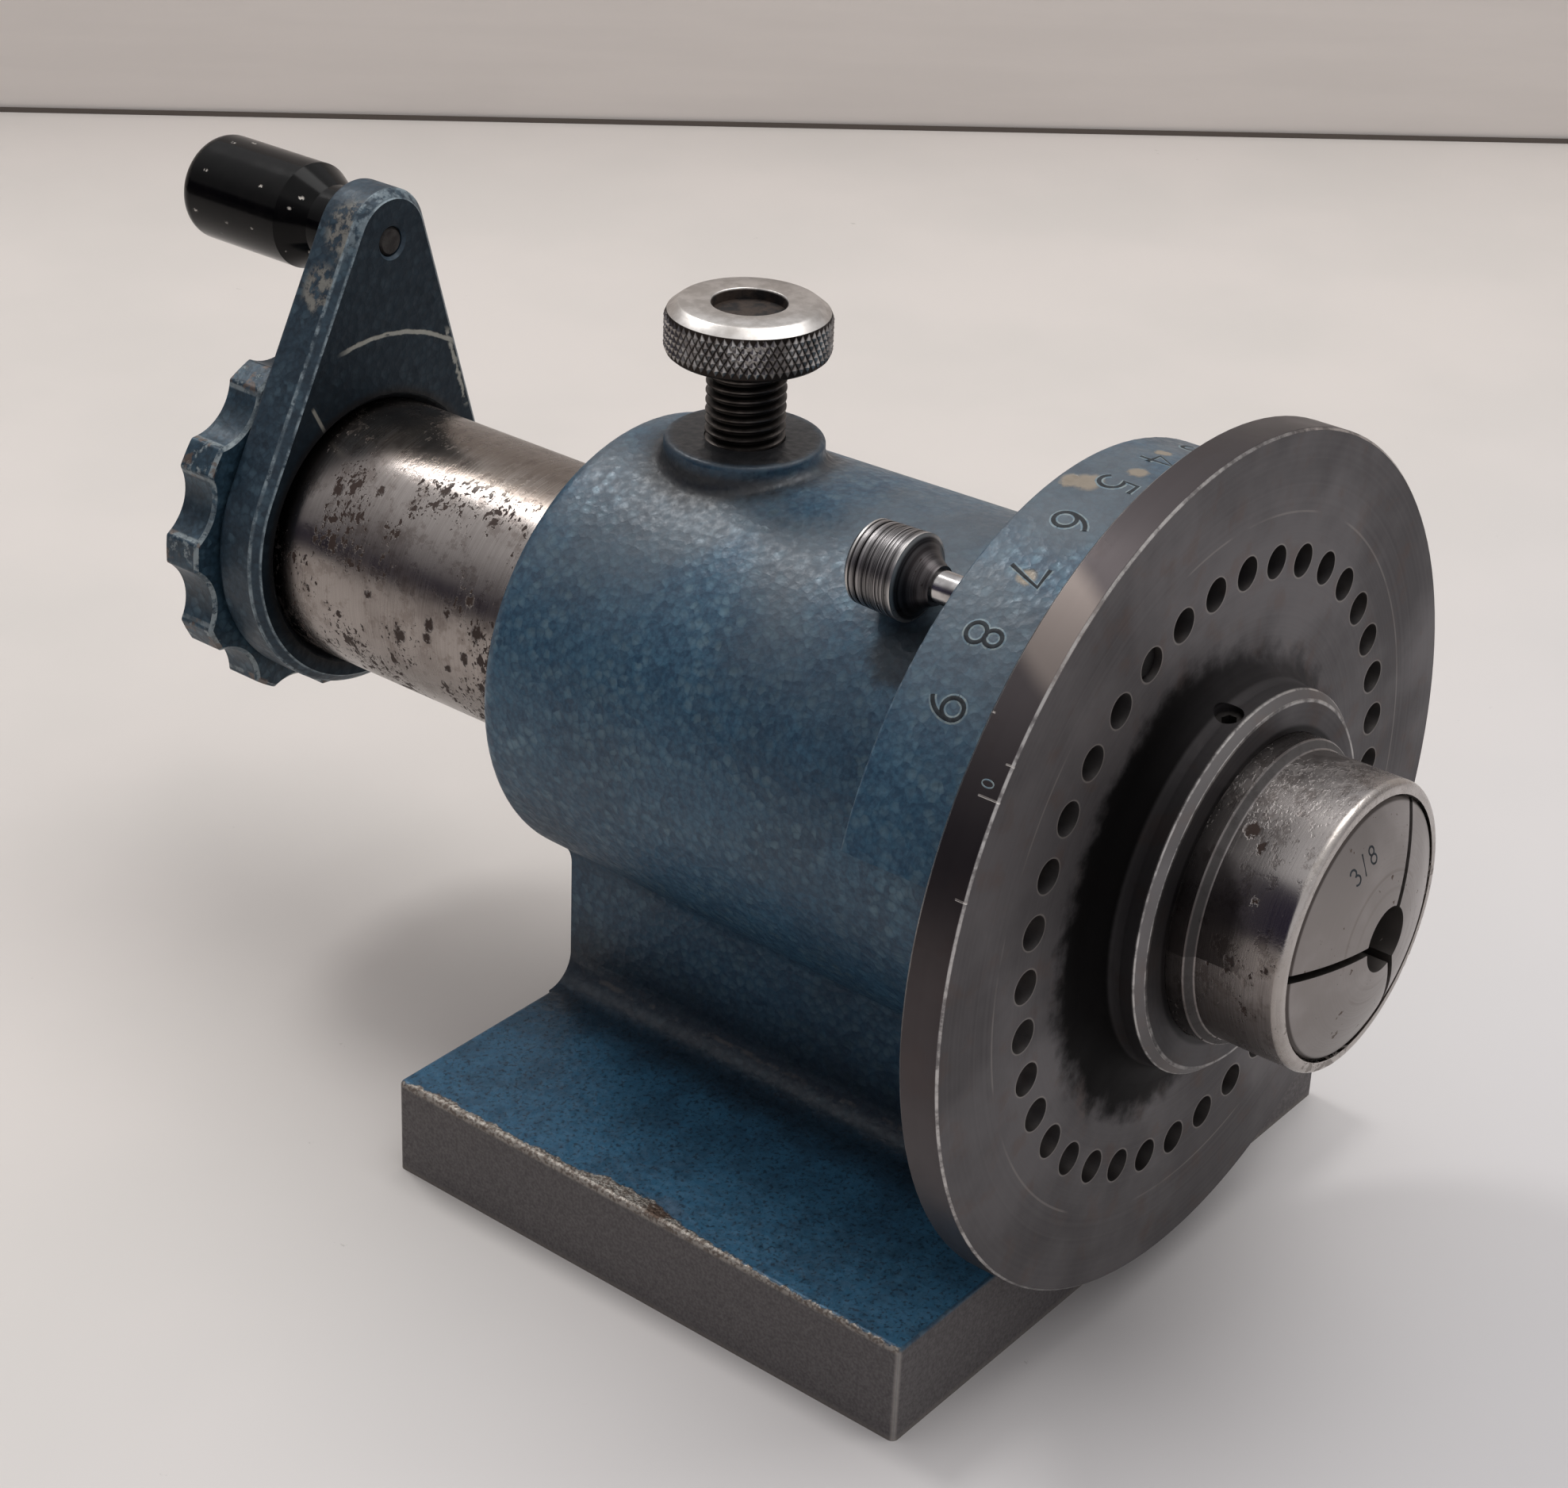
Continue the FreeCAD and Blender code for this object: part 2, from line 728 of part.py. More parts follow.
def index_knob():
    """Turned knob: hollow flare in front, then a slightly tapered body with fine grooves."""
    hole = pin_radius + pressed_gap
    pitch = pin_knob_length / (pin_groove_count + 1)

    def body_radius(y):
        return pin_knob_radius - pin_knob_draft * (y - knob_rim) / pin_knob_length

    run = math.hypot(pin_knob_radius - pin_knob_collar, pin_cone_length)
    mid_radius = (pin_knob_collar + pin_knob_radius) / 2 - pin_cone_hollow * pin_cone_length / run
    mid_y = (knob_nose + knob_rim) / 2 + pin_cone_hollow * (pin_knob_radius - pin_knob_collar) / run
    path = [(hole, knob_nose), (pin_knob_collar, knob_nose), (mid_radius, mid_y, pin_knob_radius, knob_rim)]
    for index in range(pin_groove_count):
        start = knob_rim + pitch * (index + 1) - pin_groove_width / 2
        end = start + pin_groove_width
        path.append((body_radius(start), start))
        path.append((body_radius(start) - pin_groove_depth, start))
        path.append((body_radius(end) - pin_groove_depth, end))
        path.append((body_radius(end), end))
    path.append((body_radius(knob_rear - pin_knob_edge), knob_rear - pin_knob_edge))
    path.append((body_radius(knob_rear) - pin_knob_edge, knob_rear))
    path.append((0, knob_rear))
    path.append((0, knob_nose + pin_grip))
    path.append((hole, knob_nose + pin_grip))
    return turned(path, pin_centre())


pieces = {
    "housing": housing,
    "index_plate": index_plate,
    "plate_set_screw": plate_set_screw,
    "spindle": spindle,
    "collet_key": collet_key,
    "collet": collet,
    "draw_tube": draw_tube,
    "handwheel": handwheel,
    "wheel_set_screw": wheel_set_screw,
    "crank_arm": crank_arm,
    "crank_set_screw": crank_set_screw,
    "crank_bolt": crank_bolt,
    "handle_grip": handle_grip,
    "lock_stud": lock_stud,
    "lock_knob": lock_knob,
    "lock_shoe": lock_shoe,
    "index_pin": index_pin,
    "index_knob": index_knob,
}

os.makedirs("parts", exist_ok=True)
for name, make in pieces.items():
    shape = make()
    solid = shape.Solids[0]
    print(name, "solids", len(shape.Solids), "valid", shape.isValid(), "volume", round(shape.Volume, 1))
    solid.exportStep("parts/" + name + ".step")
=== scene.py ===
# %% [markdown]
# # A collet spin index fixture
#
# A toolmaker's fixture holds a round bar in a collet and turns it in steps of a degree. The packed
# model already has every piece at its real size, so this script only gives it the looks: hammertone
# enamel, ground and pitted steel, stamped numbers, a knurl and a thread, then a table, lights and a
# camera. All lengths are in metres, and the model's millimetres become metres through one value.

# %% Load the model
import math

import bpy
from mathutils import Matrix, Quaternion, Vector


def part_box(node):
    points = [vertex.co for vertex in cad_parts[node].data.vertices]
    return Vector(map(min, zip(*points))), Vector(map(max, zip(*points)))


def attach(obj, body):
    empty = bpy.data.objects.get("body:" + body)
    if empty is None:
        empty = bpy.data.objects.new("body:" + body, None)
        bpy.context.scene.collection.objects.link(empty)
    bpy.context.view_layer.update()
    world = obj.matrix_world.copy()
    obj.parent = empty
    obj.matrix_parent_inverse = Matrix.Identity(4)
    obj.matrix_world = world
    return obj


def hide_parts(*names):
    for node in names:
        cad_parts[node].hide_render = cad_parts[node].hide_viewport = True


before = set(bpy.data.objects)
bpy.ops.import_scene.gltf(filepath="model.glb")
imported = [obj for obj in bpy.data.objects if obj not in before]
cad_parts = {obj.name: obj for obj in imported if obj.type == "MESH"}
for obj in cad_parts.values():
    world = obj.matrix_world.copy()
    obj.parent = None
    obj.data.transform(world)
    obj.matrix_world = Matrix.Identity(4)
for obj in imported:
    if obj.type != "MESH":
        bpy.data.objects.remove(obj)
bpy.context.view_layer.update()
mm = 0.001

# %% [markdown]
# Most sizes that the looks need are read from the model's own boxes, so that a mark stays on its piece
# if the model changes. The spindle runs along Y, and its height is the middle of its box. Names that
# end in low and high are corners of boxes in metres; places that a recipe uses are in millimetres.

# %% Sizes read from the model
base_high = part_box("housing")[1]
plate_low, plate_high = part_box("index_plate")
spindle_low, spindle_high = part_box("spindle")
stud_low, stud_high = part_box("lock_stud")
knob_low, knob_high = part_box("lock_knob")
pin_knob_low, pin_knob_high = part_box("index_knob")
wheel_low, wheel_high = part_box("handwheel")
axis_z = (spindle_low[2] + spindle_high[2]) / 2
plate_radius = (plate_high[0] - plate_low[0]) / 2
lock_y = (stud_low[1] + stud_high[1]) / 2
nose_front = spindle_low[1] / mm
hub_front = plate_low[1] / mm
plate_rear = plate_high[1] / mm
plate_front = plate_rear - 6.2
crank_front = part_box("crank_arm")[0][1] / mm
wheel_front = wheel_low[1] / mm
wheel_rear = wheel_high[1] / mm
print("spindle height", round(axis_z / mm, 2), "plate radius", round(plate_radius / mm, 2))

# %% [markdown]
# ## Camera
#
# The camera stands where the photographer stood: left of the collet, looking down along the fixture.
# The lens is a little long, and the frame hangs slightly below the lens's axis, which keeps upright
# edges nearly upright, as in the photograph.

# %% Camera
photo_width = 1977
photo_height = 1876
focal_pixels = 4011
lens_axis_row = 780
camera_place = Vector((-0.3373, -0.2406, 0.2922))
camera_azimuth = math.radians(-52.2)
camera_elevation = math.radians(26.18)
camera_roll = math.radians(2.46)

sight = Vector((
    -math.sin(camera_azimuth) * math.cos(camera_elevation),
    math.cos(camera_azimuth) * math.cos(camera_elevation),
    -math.sin(camera_elevation),
))
bpy.ops.object.select_all(action="DESELECT")
bpy.ops.object.camera_add(location=camera_place)
camera = bpy.context.object
camera.rotation_mode = "QUATERNION"
camera.rotation_quaternion = sight.to_track_quat("-Z", "Y") @ Quaternion((0, 0, 1), camera_roll)
camera.data.sensor_width = 36
camera.data.lens = focal_pixels / photo_width * camera.data.sensor_width
camera.data.shift_y = (lens_axis_row - photo_height / 2) / photo_width
camera.data.clip_start = 0.01
bpy.context.scene.camera = camera
print("lens", round(camera.data.lens, 1), "mm, shift", round(camera.data.shift_y, 3))

# %% [markdown]
# ## Shader arithmetic
#
# A material here is a calculation: how far a point is from an edge, whether a rust spot lies there,
# and which colour follows. Written as node after node that is hard to read, so one small class wraps
# a socket and lets it be used in a Python expression, where each operator adds its Math node.


# %% A socket that can be used in arithmetic
class Value:
    """A node's output that adds Math nodes when it is used with + - * / and numbers."""

    def __init__(self, tree, socket):
        self.tree = tree
        self.socket = socket

    def add(self, kind, settings, inputs, output=0):
        """Adds any node: its settings are made first, then its sockets are filled or linked."""
        node = self.tree.nodes.new(kind)
        for name, setting in settings.items():
            setattr(node, name, setting)
        for key, source in inputs.items():
            if isinstance(source, Value):
                self.tree.links.new(source.socket, node.inputs[key])
            else:
                node.inputs[key].default_value = source
        return Value(self.tree, node.outputs[output])

    def math(self, operation, *values):
        return self.add("ShaderNodeMath", {"operation": operation}, dict(enumerate(values)))

    def __add__(self, other):
        return self.math("ADD", self, other)

    def __radd__(self, other):
        return self.math("ADD", other, self)

    def __sub__(self, other):
        return self.math("SUBTRACT", self, other)

    def __rsub__(self, other):
        return self.math("SUBTRACT", other, self)

    def __mul__(self, other):
        return self.math("MULTIPLY", self, other)

    def __rmul__(self, other):
        return self.math("MULTIPLY", other, self)

    def __truediv__(self, other):
        return self.math("DIVIDE", self, other)

    def __abs__(self):
        return self.math("ABSOLUTE", self)

    def coat(self, mask, shade):
        """Lays one more colour over this one, where the mask is 1."""
        self.socket = paint(mask, self, shade).socket


# %% [markdown]
# A few words make the recipes short. `fade` goes smoothly from 0 to 1 between two values, `band` is 1
# between two values, and `either` and `both` join two masks. `paint` mixes two colours by a mask, and
# `coat` lays one more colour over a tone. `noise` and `cells` are the two patterns that everything
# grows from. Places are in millimetres, so a scale of 1 is one wave in 1 mm. A colour is given as it
# looks on a screen, from 0 to 255.

# %% Words for the recipes
def fade(value, start, end):
    return value.add(
        "ShaderNodeMapRange", {"interpolation_type": "SMOOTHSTEP"}, {0: value, 1: start, 2: end})


def band(value, low, high, soft):
    return fade(value, low - soft, low + soft) * fade(value, high + soft, high - soft)


def either(first, second):
    return first.math("MAXIMUM", first, second)


def both(first, second):
    return first * second


def distance(first, second):
    return first.math("SQRT", first * first + second * second)


def on_screen(shade):
    """A colour from 0 to 255 as the shader wants it; a colour that is already a socket stays."""
    def linear(level):
        level = level / 255
        return level / 12.92 if level <= 0.04045 else ((level + 0.055) / 1.055) ** 2.4
    return shade if isinstance(shade, Value) else (*[linear(level) for level in shade], 1)


def paint(mask, under, over):
    return mask.add(
        "ShaderNodeMix", {"data_type": "RGBA", "clamp_factor": True},
        {0: mask, 6: on_screen(under), 7: on_screen(over)}, 2)


def noise(place, scale, detail=3, rough=0.5):
    return place.add("ShaderNodeTexNoise", {}, {
        "Vector": place, "Scale": scale, "Detail": detail, "Roughness": rough})


def cells(place, scale, feature="F1", output=0):
    return place.add(
        "ShaderNodeTexVoronoi", {"feature": feature}, {"Vector": place, "Scale": scale}, output)


def stretched(place, sizes, shift=(0, 0, 0)):
    return place.add("ShaderNodeMapping", {}, {"Vector": place, "Scale": sizes, "Location": shift})


def split(vector):
    first = vector.add("ShaderNodeSeparateXYZ", {}, {0: vector})
    return [Value(vector.tree, socket) for socket in first.socket.node.outputs]


# %% [markdown]
# Every material starts and ends in the same way. It starts with the place on the piece, in the piece's
# own space, so that marks turn with it; some also ask which way the surface faces. It ends in one
# Principled shader, with a Bump node whose height is in millimetres.

# %% Start and end of a material
def begin(name):
    """Makes an empty material and returns the place on the piece in mm, which remembers it."""
    material = bpy.data.materials.new(name)
    material.use_nodes = True
    tree = material.node_tree
    tree.nodes.clear()
    source = tree.nodes.new("ShaderNodeTexCoord")
    metres = Value(tree, source.outputs["Object"])
    place = metres.add("ShaderNodeVectorMath", {"operation": "SCALE"}, {0: metres, "Scale": 1 / mm})
    place.material = material
    return place


def facing(place):
    """The direction that the surface faces, in the piece's own space, as three values."""
    source = place.tree.nodes.new("ShaderNodeTexCoord")
    return split(Value(place.tree, source.outputs["Normal"]))


def end(place, base, roughness, metallic, height=None, **fixed):
    """Adds the Principled shader, a bump if there is a height in mm, and the output."""
    inputs = {"Base Color": base, "Roughness": roughness, "Metallic": metallic}
    if height is not None:
        inputs["Normal"] = place.add("ShaderNodeBump", {}, {"Height": height, "Distance": mm})
    inputs.update({name.replace("_", " "): value for name, value in fixed.items()})
    shader = place.add("ShaderNodeBsdfPrincipled", {}, inputs)
    output = place.tree.nodes.new("ShaderNodeOutputMaterial")
    place.tree.links.new(shader.socket, output.inputs["Surface"])
    return place.material


def around_spindle(place):
    """Radius from the spindle's axis and the angle round it, from -pi to pi."""
    x, y, z = split(place)
    up = z - axis_z / mm
    return distance(x, up), x.math("ARCTAN2", up, x), y


def around_lock(place):
    """Distance from the axis of the spindle lock, which stands upright on the barrel."""
    x, y = split(place)[:2]
    return distance(x, y - lock_y / mm)


# %% [markdown]
# ## Table, wall and light
#
# The fixture stands on a pale bench in front of a pale wall, under soft light from above. Steel shows what
# is around it: the pale bench from below, the lamp from above, and the dim room in between. So the world
# is dim at eye level on the far left and brighter overhead. Together with a painted reflection, a dark
# band on the bench that only glossy rays see, this gives a ground bar its bands. The bench is also painted
# a cooler tint towards the front, as painted light. The camera itself sees a plain pale room.

# %% Bench and wall
def plain_finish(name, shade, rough):
    place = begin(name)
    drift = noise(place, 0.012, detail=3)
    tone = paint(fade(drift, 0.35, 0.65), shade, [level * 0.985 for level in shade])
    return end(place, tone, rough, 0)


def bench_paint():
    """Pale bench with a painted cooler light in front; far to the left, glossy rays see it painted dark, a
    painted reflection of the dark room there.
    """
    place = begin("bench_paint")
    x, y = split(place)[:2]
    drift = noise(place, 0.012, detail=3)
    tone = paint(fade(drift, 0.35, 0.65), (212, 206, 201), (207, 202, 197))
    # painted light: the bench is painted a cooler tint towards the front
    tone.coat(fade(y, 120, -160), (206, 204, 205))
    marks = fade(noise(place, 0.11, detail=5, rough=0.7), 0.7, 0.74)
    tone.coat(marks * 0.3, (120, 112, 106))
    # painted reflection: only glossy rays see the bench dark far to the left, so the metal mirrors a dark
    # room there
    rays = place.tree.nodes.new("ShaderNodeLightPath")
    mirrored = Value(place.tree, rays.outputs["Is Glossy Ray"])
    reflection_band = fade(y * 0.65 - x * 0.75, 700, 900)
    tone.coat(mirrored * reflection_band, (52, 48, 58))
    return end(place, tone, 0.55, 0)


bench_finish = bench_paint()
wall_finish = plain_finish("wall_paint", (222, 215, 209), 0.8)
# painted shadow: the finish of the dark strip at the wall's foot
foot_shadow_finish = plain_finish("gap_shadow", (92, 84, 78), 0.9)


def flat_sheet(name, size, place, turn, finish):
    """One large sheet that isn't part of the object."""
    bpy.ops.object.select_all(action="DESELECT")
    bpy.ops.mesh.primitive_plane_add(size=size, location=place, rotation=turn)
    sheet = bpy.context.object
    sheet.name = name
    sheet.data.materials.append(finish)
    return sheet


wall_left = Vector((0.2382, 0.51, 0))
wall_right = Vector((0.5579, 0.1561, 0))
wall_width = 3.4
wall_height = 0.42
foot_shadow_height = 0.0016
wall_turn = math.atan2(wall_right.y - wall_left.y, wall_right.x - wall_left.x)
wall_foot = (wall_left + wall_right) / 2
toward = Vector((math.sin(wall_turn), -math.cos(wall_turn), 0))
upright = (math.pi / 2, 0, wall_turn)
flat_sheet("bench", 6, (0, 0, 0), (0, 0, 0), bench_finish)
wall = flat_sheet("wall", wall_width, wall_foot + Vector((0, 0, wall_height / 2)), upright, wall_finish)
wall.scale = (1, wall_height / wall_width, 1)
# painted shadow: a thin dark strip where the bench meets the wall, in place of the shadow line there
gap = flat_sheet("wall_foot_shadow", wall_width, wall_foot + toward * 0.001, upright, foot_shadow_finish)
gap.scale = (1, foot_shadow_height * 2 / wall_width, 1)
print("bench and wall made")

# %% World
world = bpy.data.worlds.new("room")
bpy.context.scene.world = world
world.use_nodes = True
world.node_tree.nodes.clear()
sky_source = world.node_tree.nodes.new("ShaderNodeTexCoord")
direction = Value(world.node_tree, sky_source.outputs["Generated"])
east, north, up = split(direction)
far_left = fade(0.6 * north - 0.8 * east, 0.35, 0.75)
leftmost = fade((0 - east) / distance(east, north), 0.78, 0.86)
low_band = fade(up - leftmost * 0.48, 0.21, 0.14)
ceiling = fade(up, 0.25, 0.8)
behind_camera = fade(0 - east - north, 0, 0.9)
sky = paint(ceiling, (140, 138, 140), (214, 213, 214))
sky.coat(behind_camera * (1 - ceiling), (196, 195, 198))
sky.coat(both(far_left, low_band), (40, 36, 54))
sight_ray = world.node_tree.nodes.new("ShaderNodeLightPath")
seen = Value(world.node_tree, sight_ray.outputs["Is Camera Ray"])
sky.coat(seen, (184, 180, 176))
background = direction.add("ShaderNodeBackground", {}, {"Color": sky, "Strength": 1.18})
room = world.node_tree.nodes.new("ShaderNodeOutputWorld")
world.node_tree.links.new(background.socket, room.inputs["Surface"])


# %% Lamps
def lamp(name, place, target, size, watts, warmth):
    bpy.ops.object.select_all(action="DESELECT")
    bpy.ops.object.light_add(type="AREA", location=place)
    light = bpy.context.object
    light.name = name
    light.rotation_mode = "QUATERNION"
    light.rotation_quaternion = (Vector(target) - Vector(place)).to_track_quat("-Z", "Y")
    light.data.size = size
    light.data.energy = watts
    light.data.color = warmth
    return light


lamp("overhead", (0.1, 0.75, 1.05), (0, 0, 0.05), 0.25, 3.2, (1, 0.99, 0.98))
lamp("window", (0.35, -0.2, 1.3), (0, 0, 0.05), 0.9, 7, (1, 0.99, 0.98))
bpy.context.scene.view_settings.view_transform = "Standard"
print("lights made")

# %% [markdown]
# ## Hammertone enamel
#
# Hammertone paint holds metal flakes and dries in small dimples, so it looks beaten. Cells of about a
# millimetre give both the dimples and the pale flecks in them, and slow noise keeps them uneven. The
# casting, the crank and the wheel share this recipe and differ in their wear.

# %% Hammertone recipe
def hammertone(place, deep, middle, pale):
    """Colour, height in mm and flake mask of hammertone enamel."""
    shake = noise(place, 1.3, detail=2)
    shaken = place.add("ShaderNodeVectorMath", {"operation": "MULTIPLY_ADD"}, {
        0: place.add("ShaderNodeTexNoise", {}, {"Vector": place, "Scale": 0.9, "Detail": 2}, 1),
        1: (0.9, 0.9, 0.9), 2: place})
    dimple = cells(shaken, 0.66)
    border = cells(shaken, 0.66, feature="DISTANCE_TO_EDGE")
    chance = split(cells(shaken, 0.66, output=1))[0]
    patch = noise(place, 0.09, detail=4, rough=0.6)
    flake = fade(dimple, 0.75, 0.25) * fade(chance, 0.15, 0.95) * fade(patch, 0.34, 0.62)
    mottled = paint(fade(shake, 0.36, 0.64) * 0.5 + chance * 0.5, deep, middle)
    tone = paint(flake * 0.32, mottled, pale)
    tone.coat(fade(border, 0.12, 0) * 0.3, deep)
    return tone, dimple * 0.09 + shake * 0.03, flake


deep_blue = (34, 62, 84)
mid_blue = (58, 94, 116)
pale_blue = (134, 156, 162)
bare_iron = (104, 100, 100)
worn_metal = (158, 152, 144)
dark_grime = (34, 31, 30)

# %% [markdown]
# The casting is painted all over except the base's four sides, which were milled and stay bare. Along the
# left edge the enamel has been knocked off in a ragged strip. Grime sits on top of the lock boss, and the
# cove at the web's foot is darkened with painted shade, with a dusty line along it. All of these places
# are found from the distance to an edge, with noise added to the distance, which makes their borders
# ragged.

# %% Places on the casting
half_width = base_high[0] / mm
half_length = 47.4
base_top = 15.9
boss_top = 109.44
barrel_rear = 50.5
barrel_radius = 40
sector_radius = 54.78
sector_rear = -30.3
sector_chip_places = (
    (97.8, -34.6, 2.6), (98.6, -32.6, 2), (91.2, -38.4, 1.7), (81.5, -36.5, 1.5))
chip_on_seven = (118.6, -38.4)
# where the painted shadow beneath the index knob lies, in degrees and mm
knob_shadow_place = (129.5, -19)
strip_middle = 3
strip_rust = (-3.5, -53.6)


def near_line(x, z, middle, wide):
    """Mask that is 1 within a distance of a point in two directions, for chips, stains and painted patches
    of light and shade.
    """
    return fade(distance(x - middle[0], z - middle[1]), wide, wide * 0.55)


def unrolled(spot, radius):
    """A spot on a drum, given in degrees and mm, as it lies when the drum is rolled out flat."""
    return (math.radians(spot[0]) * radius, spot[1])


def bare_sides(x, y, z):
    """The milled sides of the base."""
    side = either(fade(abs(x), half_width - 0.45, half_width - 0.2),
                  fade(abs(y), half_length - 0.45, half_length - 0.2))
    return both(side, fade(z, base_top - 0.3, base_top - 0.9))


def knocked_strip(x, y, z, ragged):
    """Enamel knocked off along the base's left top edge, widest half way along."""
    long_window = fade(y, -26, -6) * fade(y, 47, 40)
    middle = fade(abs(y - strip_middle), 12, 3)
    wide = 0.35 + long_window * (0.9 + 1.6 * middle)
    depth = half_width + x + ragged * 2.6
    top = fade(z, base_top - 1.2, base_top - 0.5) * fade(z, base_top + 0.6, base_top + 0.3)
    return fade(depth, wide + 0.25, wide - 0.1) * top


def sector_chips(place, radius, angle, y, ragged):
    """Chips beside the stamped numbers and a worn line along the sector's rear edge."""
    on_rim = fade(radius, sector_radius - 0.4, sector_radius - 0.15)
    along = angle * sector_radius
    chips = near_line(along + ragged * 1.6, y, unrolled(chip_on_seven, sector_radius), 1.7)
    for degrees, station, wide in sector_chip_places:
        centre = unrolled((degrees, station), sector_radius)
        chips = either(chips, near_line(along + ragged * 2.4, y + ragged, centre, wide))
    line = fade(abs(y - sector_rear - 0.15), 0.3, 0.18) * fade(radius, 52, 53.5)
    line = line * fade(angle, 0.2, 0.3) * fade(angle, 2.95, 2.85)
    return chips * on_rim, line * fade(noise(place, 0.8), 0.4, 0.5)


# %% Casting enamel
def casting_finish():
    place = begin("hammertone_casting")
    x, y, z = split(place)
    radius, angle, y = around_spindle(place)
    ragged = noise(place, 0.45, detail=5, rough=0.65) - 0.5
    tone, height, flake = hammertone(place, deep_blue, mid_blue, pale_blue)
    upward = facing(place)[2]
    on_barrel = fade(z, 80, 90)
    # painted light: upward faces high on the casting are painted a paler grey in patches, as the overhead
    # light shows them
    painted_top_light = fade(upward, 0.35, 0.95) * fade(z, 60, 100) * fade(noise(place, 0.05, detail=4), 0.3, 0.6)
    tone.coat(painted_top_light * 0.65, (96, 101, 104))
    stain = fade(noise(place, 0.045, detail=5, rough=0.65), 0.46, 0.64)
    tone.coat(stain * 0.3, (34, 44, 58))
    # painted shade: the casting is painted darker towards the bottom, over the web and the lower barrel
    tone.coat(fade(z, 62, 34) * 0.3, (24, 34, 48))
    # painted shadow: a dark patch on the barrel beneath the index knob
    knob_shadow = near_line(angle * barrel_radius + ragged * 5, y, unrolled(knob_shadow_place, barrel_radius), 7.5)
    tone.coat(knob_shadow * on_barrel * 0.75, (14, 16, 20))

    bare = bare_sides(x, y, z)
    grain = noise(place, 2.2, detail=4)
    milled = paint(fade(grain, 0.3, 0.7), bare_iron, (86, 82, 82))
    milled.coat(fade(z, 1.2, 0.3) * 0.5, (128, 122, 116))
    from_corner = fade(half_width - abs(x), 0.9, 0.3) * fade(half_length - abs(y), 0.9, 0.3)
    milled.coat(from_corner * 0.6, (168, 162, 156))
    tone.coat(bare, milled)

    strip = knocked_strip(x, y, z, ragged)
    fresh = noise(place, 1.9, detail=4)
    speckle = paint(fade(fresh, 0.42, 0.6), worn_metal, (112, 102, 94))
    tone.coat(strip, speckle)
    rust = near_line(y + ragged * 3, x, strip_rust, 3.6) * fade(ragged, -0.16, 0)
    rust = rust * fade(z, base_top - 0.5, base_top) * fade(z, base_top + 0.4, base_top + 0.2)
    tone.coat(rust, (84, 68, 58))

    chips, line = sector_chips(place, radius, angle, y, ragged)
    tone.coat(chips, (136, 126, 112))
    tone.coat(line * 0.6, (132, 142, 142))

    from_boss = around_lock(place)
    boss_side = fade(from_boss, 13.4, 12.3) * fade(z, 98, 100)
    tone.coat(boss_side * 0.55, (26, 38, 50))
    on_top = fade(z, boss_top - 0.5, boss_top - 0.1) * fade(from_boss + ragged * 2, 11.8, 10.4)
    foot = fade(from_boss + ragged * 4, 17, 12.5) * fade(z, boss_top - 0.8, boss_top - 2.6)
    tone.coat(either(on_top * 0.85, foot * 0.8) * on_barrel, dark_grime)

    ledge = fade(z, base_top + 1, base_top + 0.2) * fade(upward, 0.8, 0.95) * (1 - strip)
    # painted light: the ledge on the base's top is painted a brighter blue, standing in for light that
    # reaches it; the mottle and specks below are the enamel's own
    tone.coat(ledge * 0.62, (54, 106, 138))
    mottle = noise(place, 0.16, detail=5, rough=0.7)
    tone.coat(ledge * fade(mottle, 0.42, 0.6) * 0.45, (34, 56, 74))
    speck = fade(noise(place, 1.5, detail=4, rough=0.7), 0.52, 0.62)
    tone.coat(ledge * speck * 0.7, (20, 30, 42))
    # painted shade: the cove at the web's foot is painted near black
    cove_shade = fade(z + ragged * 6, base_top + 17, base_top + 3) * fade(abs(x) + ragged * 5, 31, 22.5)
    tone.coat(cove_shade * (1 - bare) * 0.74, (18, 20, 26))
    scum = fade(abs(z - base_top - 2.6 + ragged), 0.5, 0.1) * fade(abs(x), 24, 22.5)
    tone.coat(scum * fade(noise(place, 0.3), 0.45, 0.6) * 0.3, (112, 104, 96))

    rough = 0.36 + 0.16 * fade(noise(place, 0.8, detail=3), 0.3, 0.7) + 0.2 * bare - 0.06 * flake
    metal = either(bare * 0.45, either(strip * 0.7, (0.12 + 0.3 * flake) * (1 - bare)))
    relief = height * (1 - either(bare, strip)) + grain * 0.02 * bare + fresh * 0.2 * strip - chips * 0.12
    return end(place, tone, rough, metal, height=relief)


finishes = {"housing": casting_finish()}
print("casting finish made")

# %% [markdown]
# ## Steel
#
# Steel is metallic, with fine turning marks that run round the axis. The marks are noise that is
# stretched along one direction. Rust starts in small pits, so dark spots are the peaks of one noise,
# and they crowd where a slower noise is high, as damp fingers and dust make them do.


# %% Rust spots
def rust_spots(place, size, share):
    """Mask of ragged spots of about a size in mm; share says how much of the surface they may take."""
    squeezed = stretched(place, (0.95, 1.25, 0.95))
    big = noise(squeezed, 0.42 / size, detail=5, rough=0.55)
    middle = noise(squeezed, 0.8 / size, detail=3, rough=0.55)
    small = noise(squeezed, 1.9 / size, detail=3, rough=0.5)
    crowd = fade(noise(place, 0.075, detail=3), 0.36, 0.6)
    limit = 0.735 - share * crowd
    spots = either(fade(big, limit, limit + 0.03), fade(middle, limit + 0.01, limit + 0.045))
    return either(spots, fade(small, limit + 0.04, limit + 0.07))


# %% Ground steel of the spindle
nose_radius = 21
spindle_radius = 22.225
large_spots = (
    (176, 73.5, 1.2), (132, 91, 1), (127, 68, 1), (171, 63.5, 1.3),
    (122, 80, 1.1), (150, 57, 1.4), (160, 66, 1), (138, 99, 1.2),
    (186, 80, 1.5), (146, 84, 0.8), (178, 60, 1.3), (184, 66, 1),
    (168, 70, 0.9), (190, 58, 1.2), (193, 70, 0.9), (174, 87, 0.9),
    (165, 58.5, 1), (196, 63, 1.1), (182, 74, 1), (204, 72, 0.8),
    (128, -68, 1.5), (133, -70.2, 0.8), (152, -72.5, 0.7), (176, -71, 0.9))


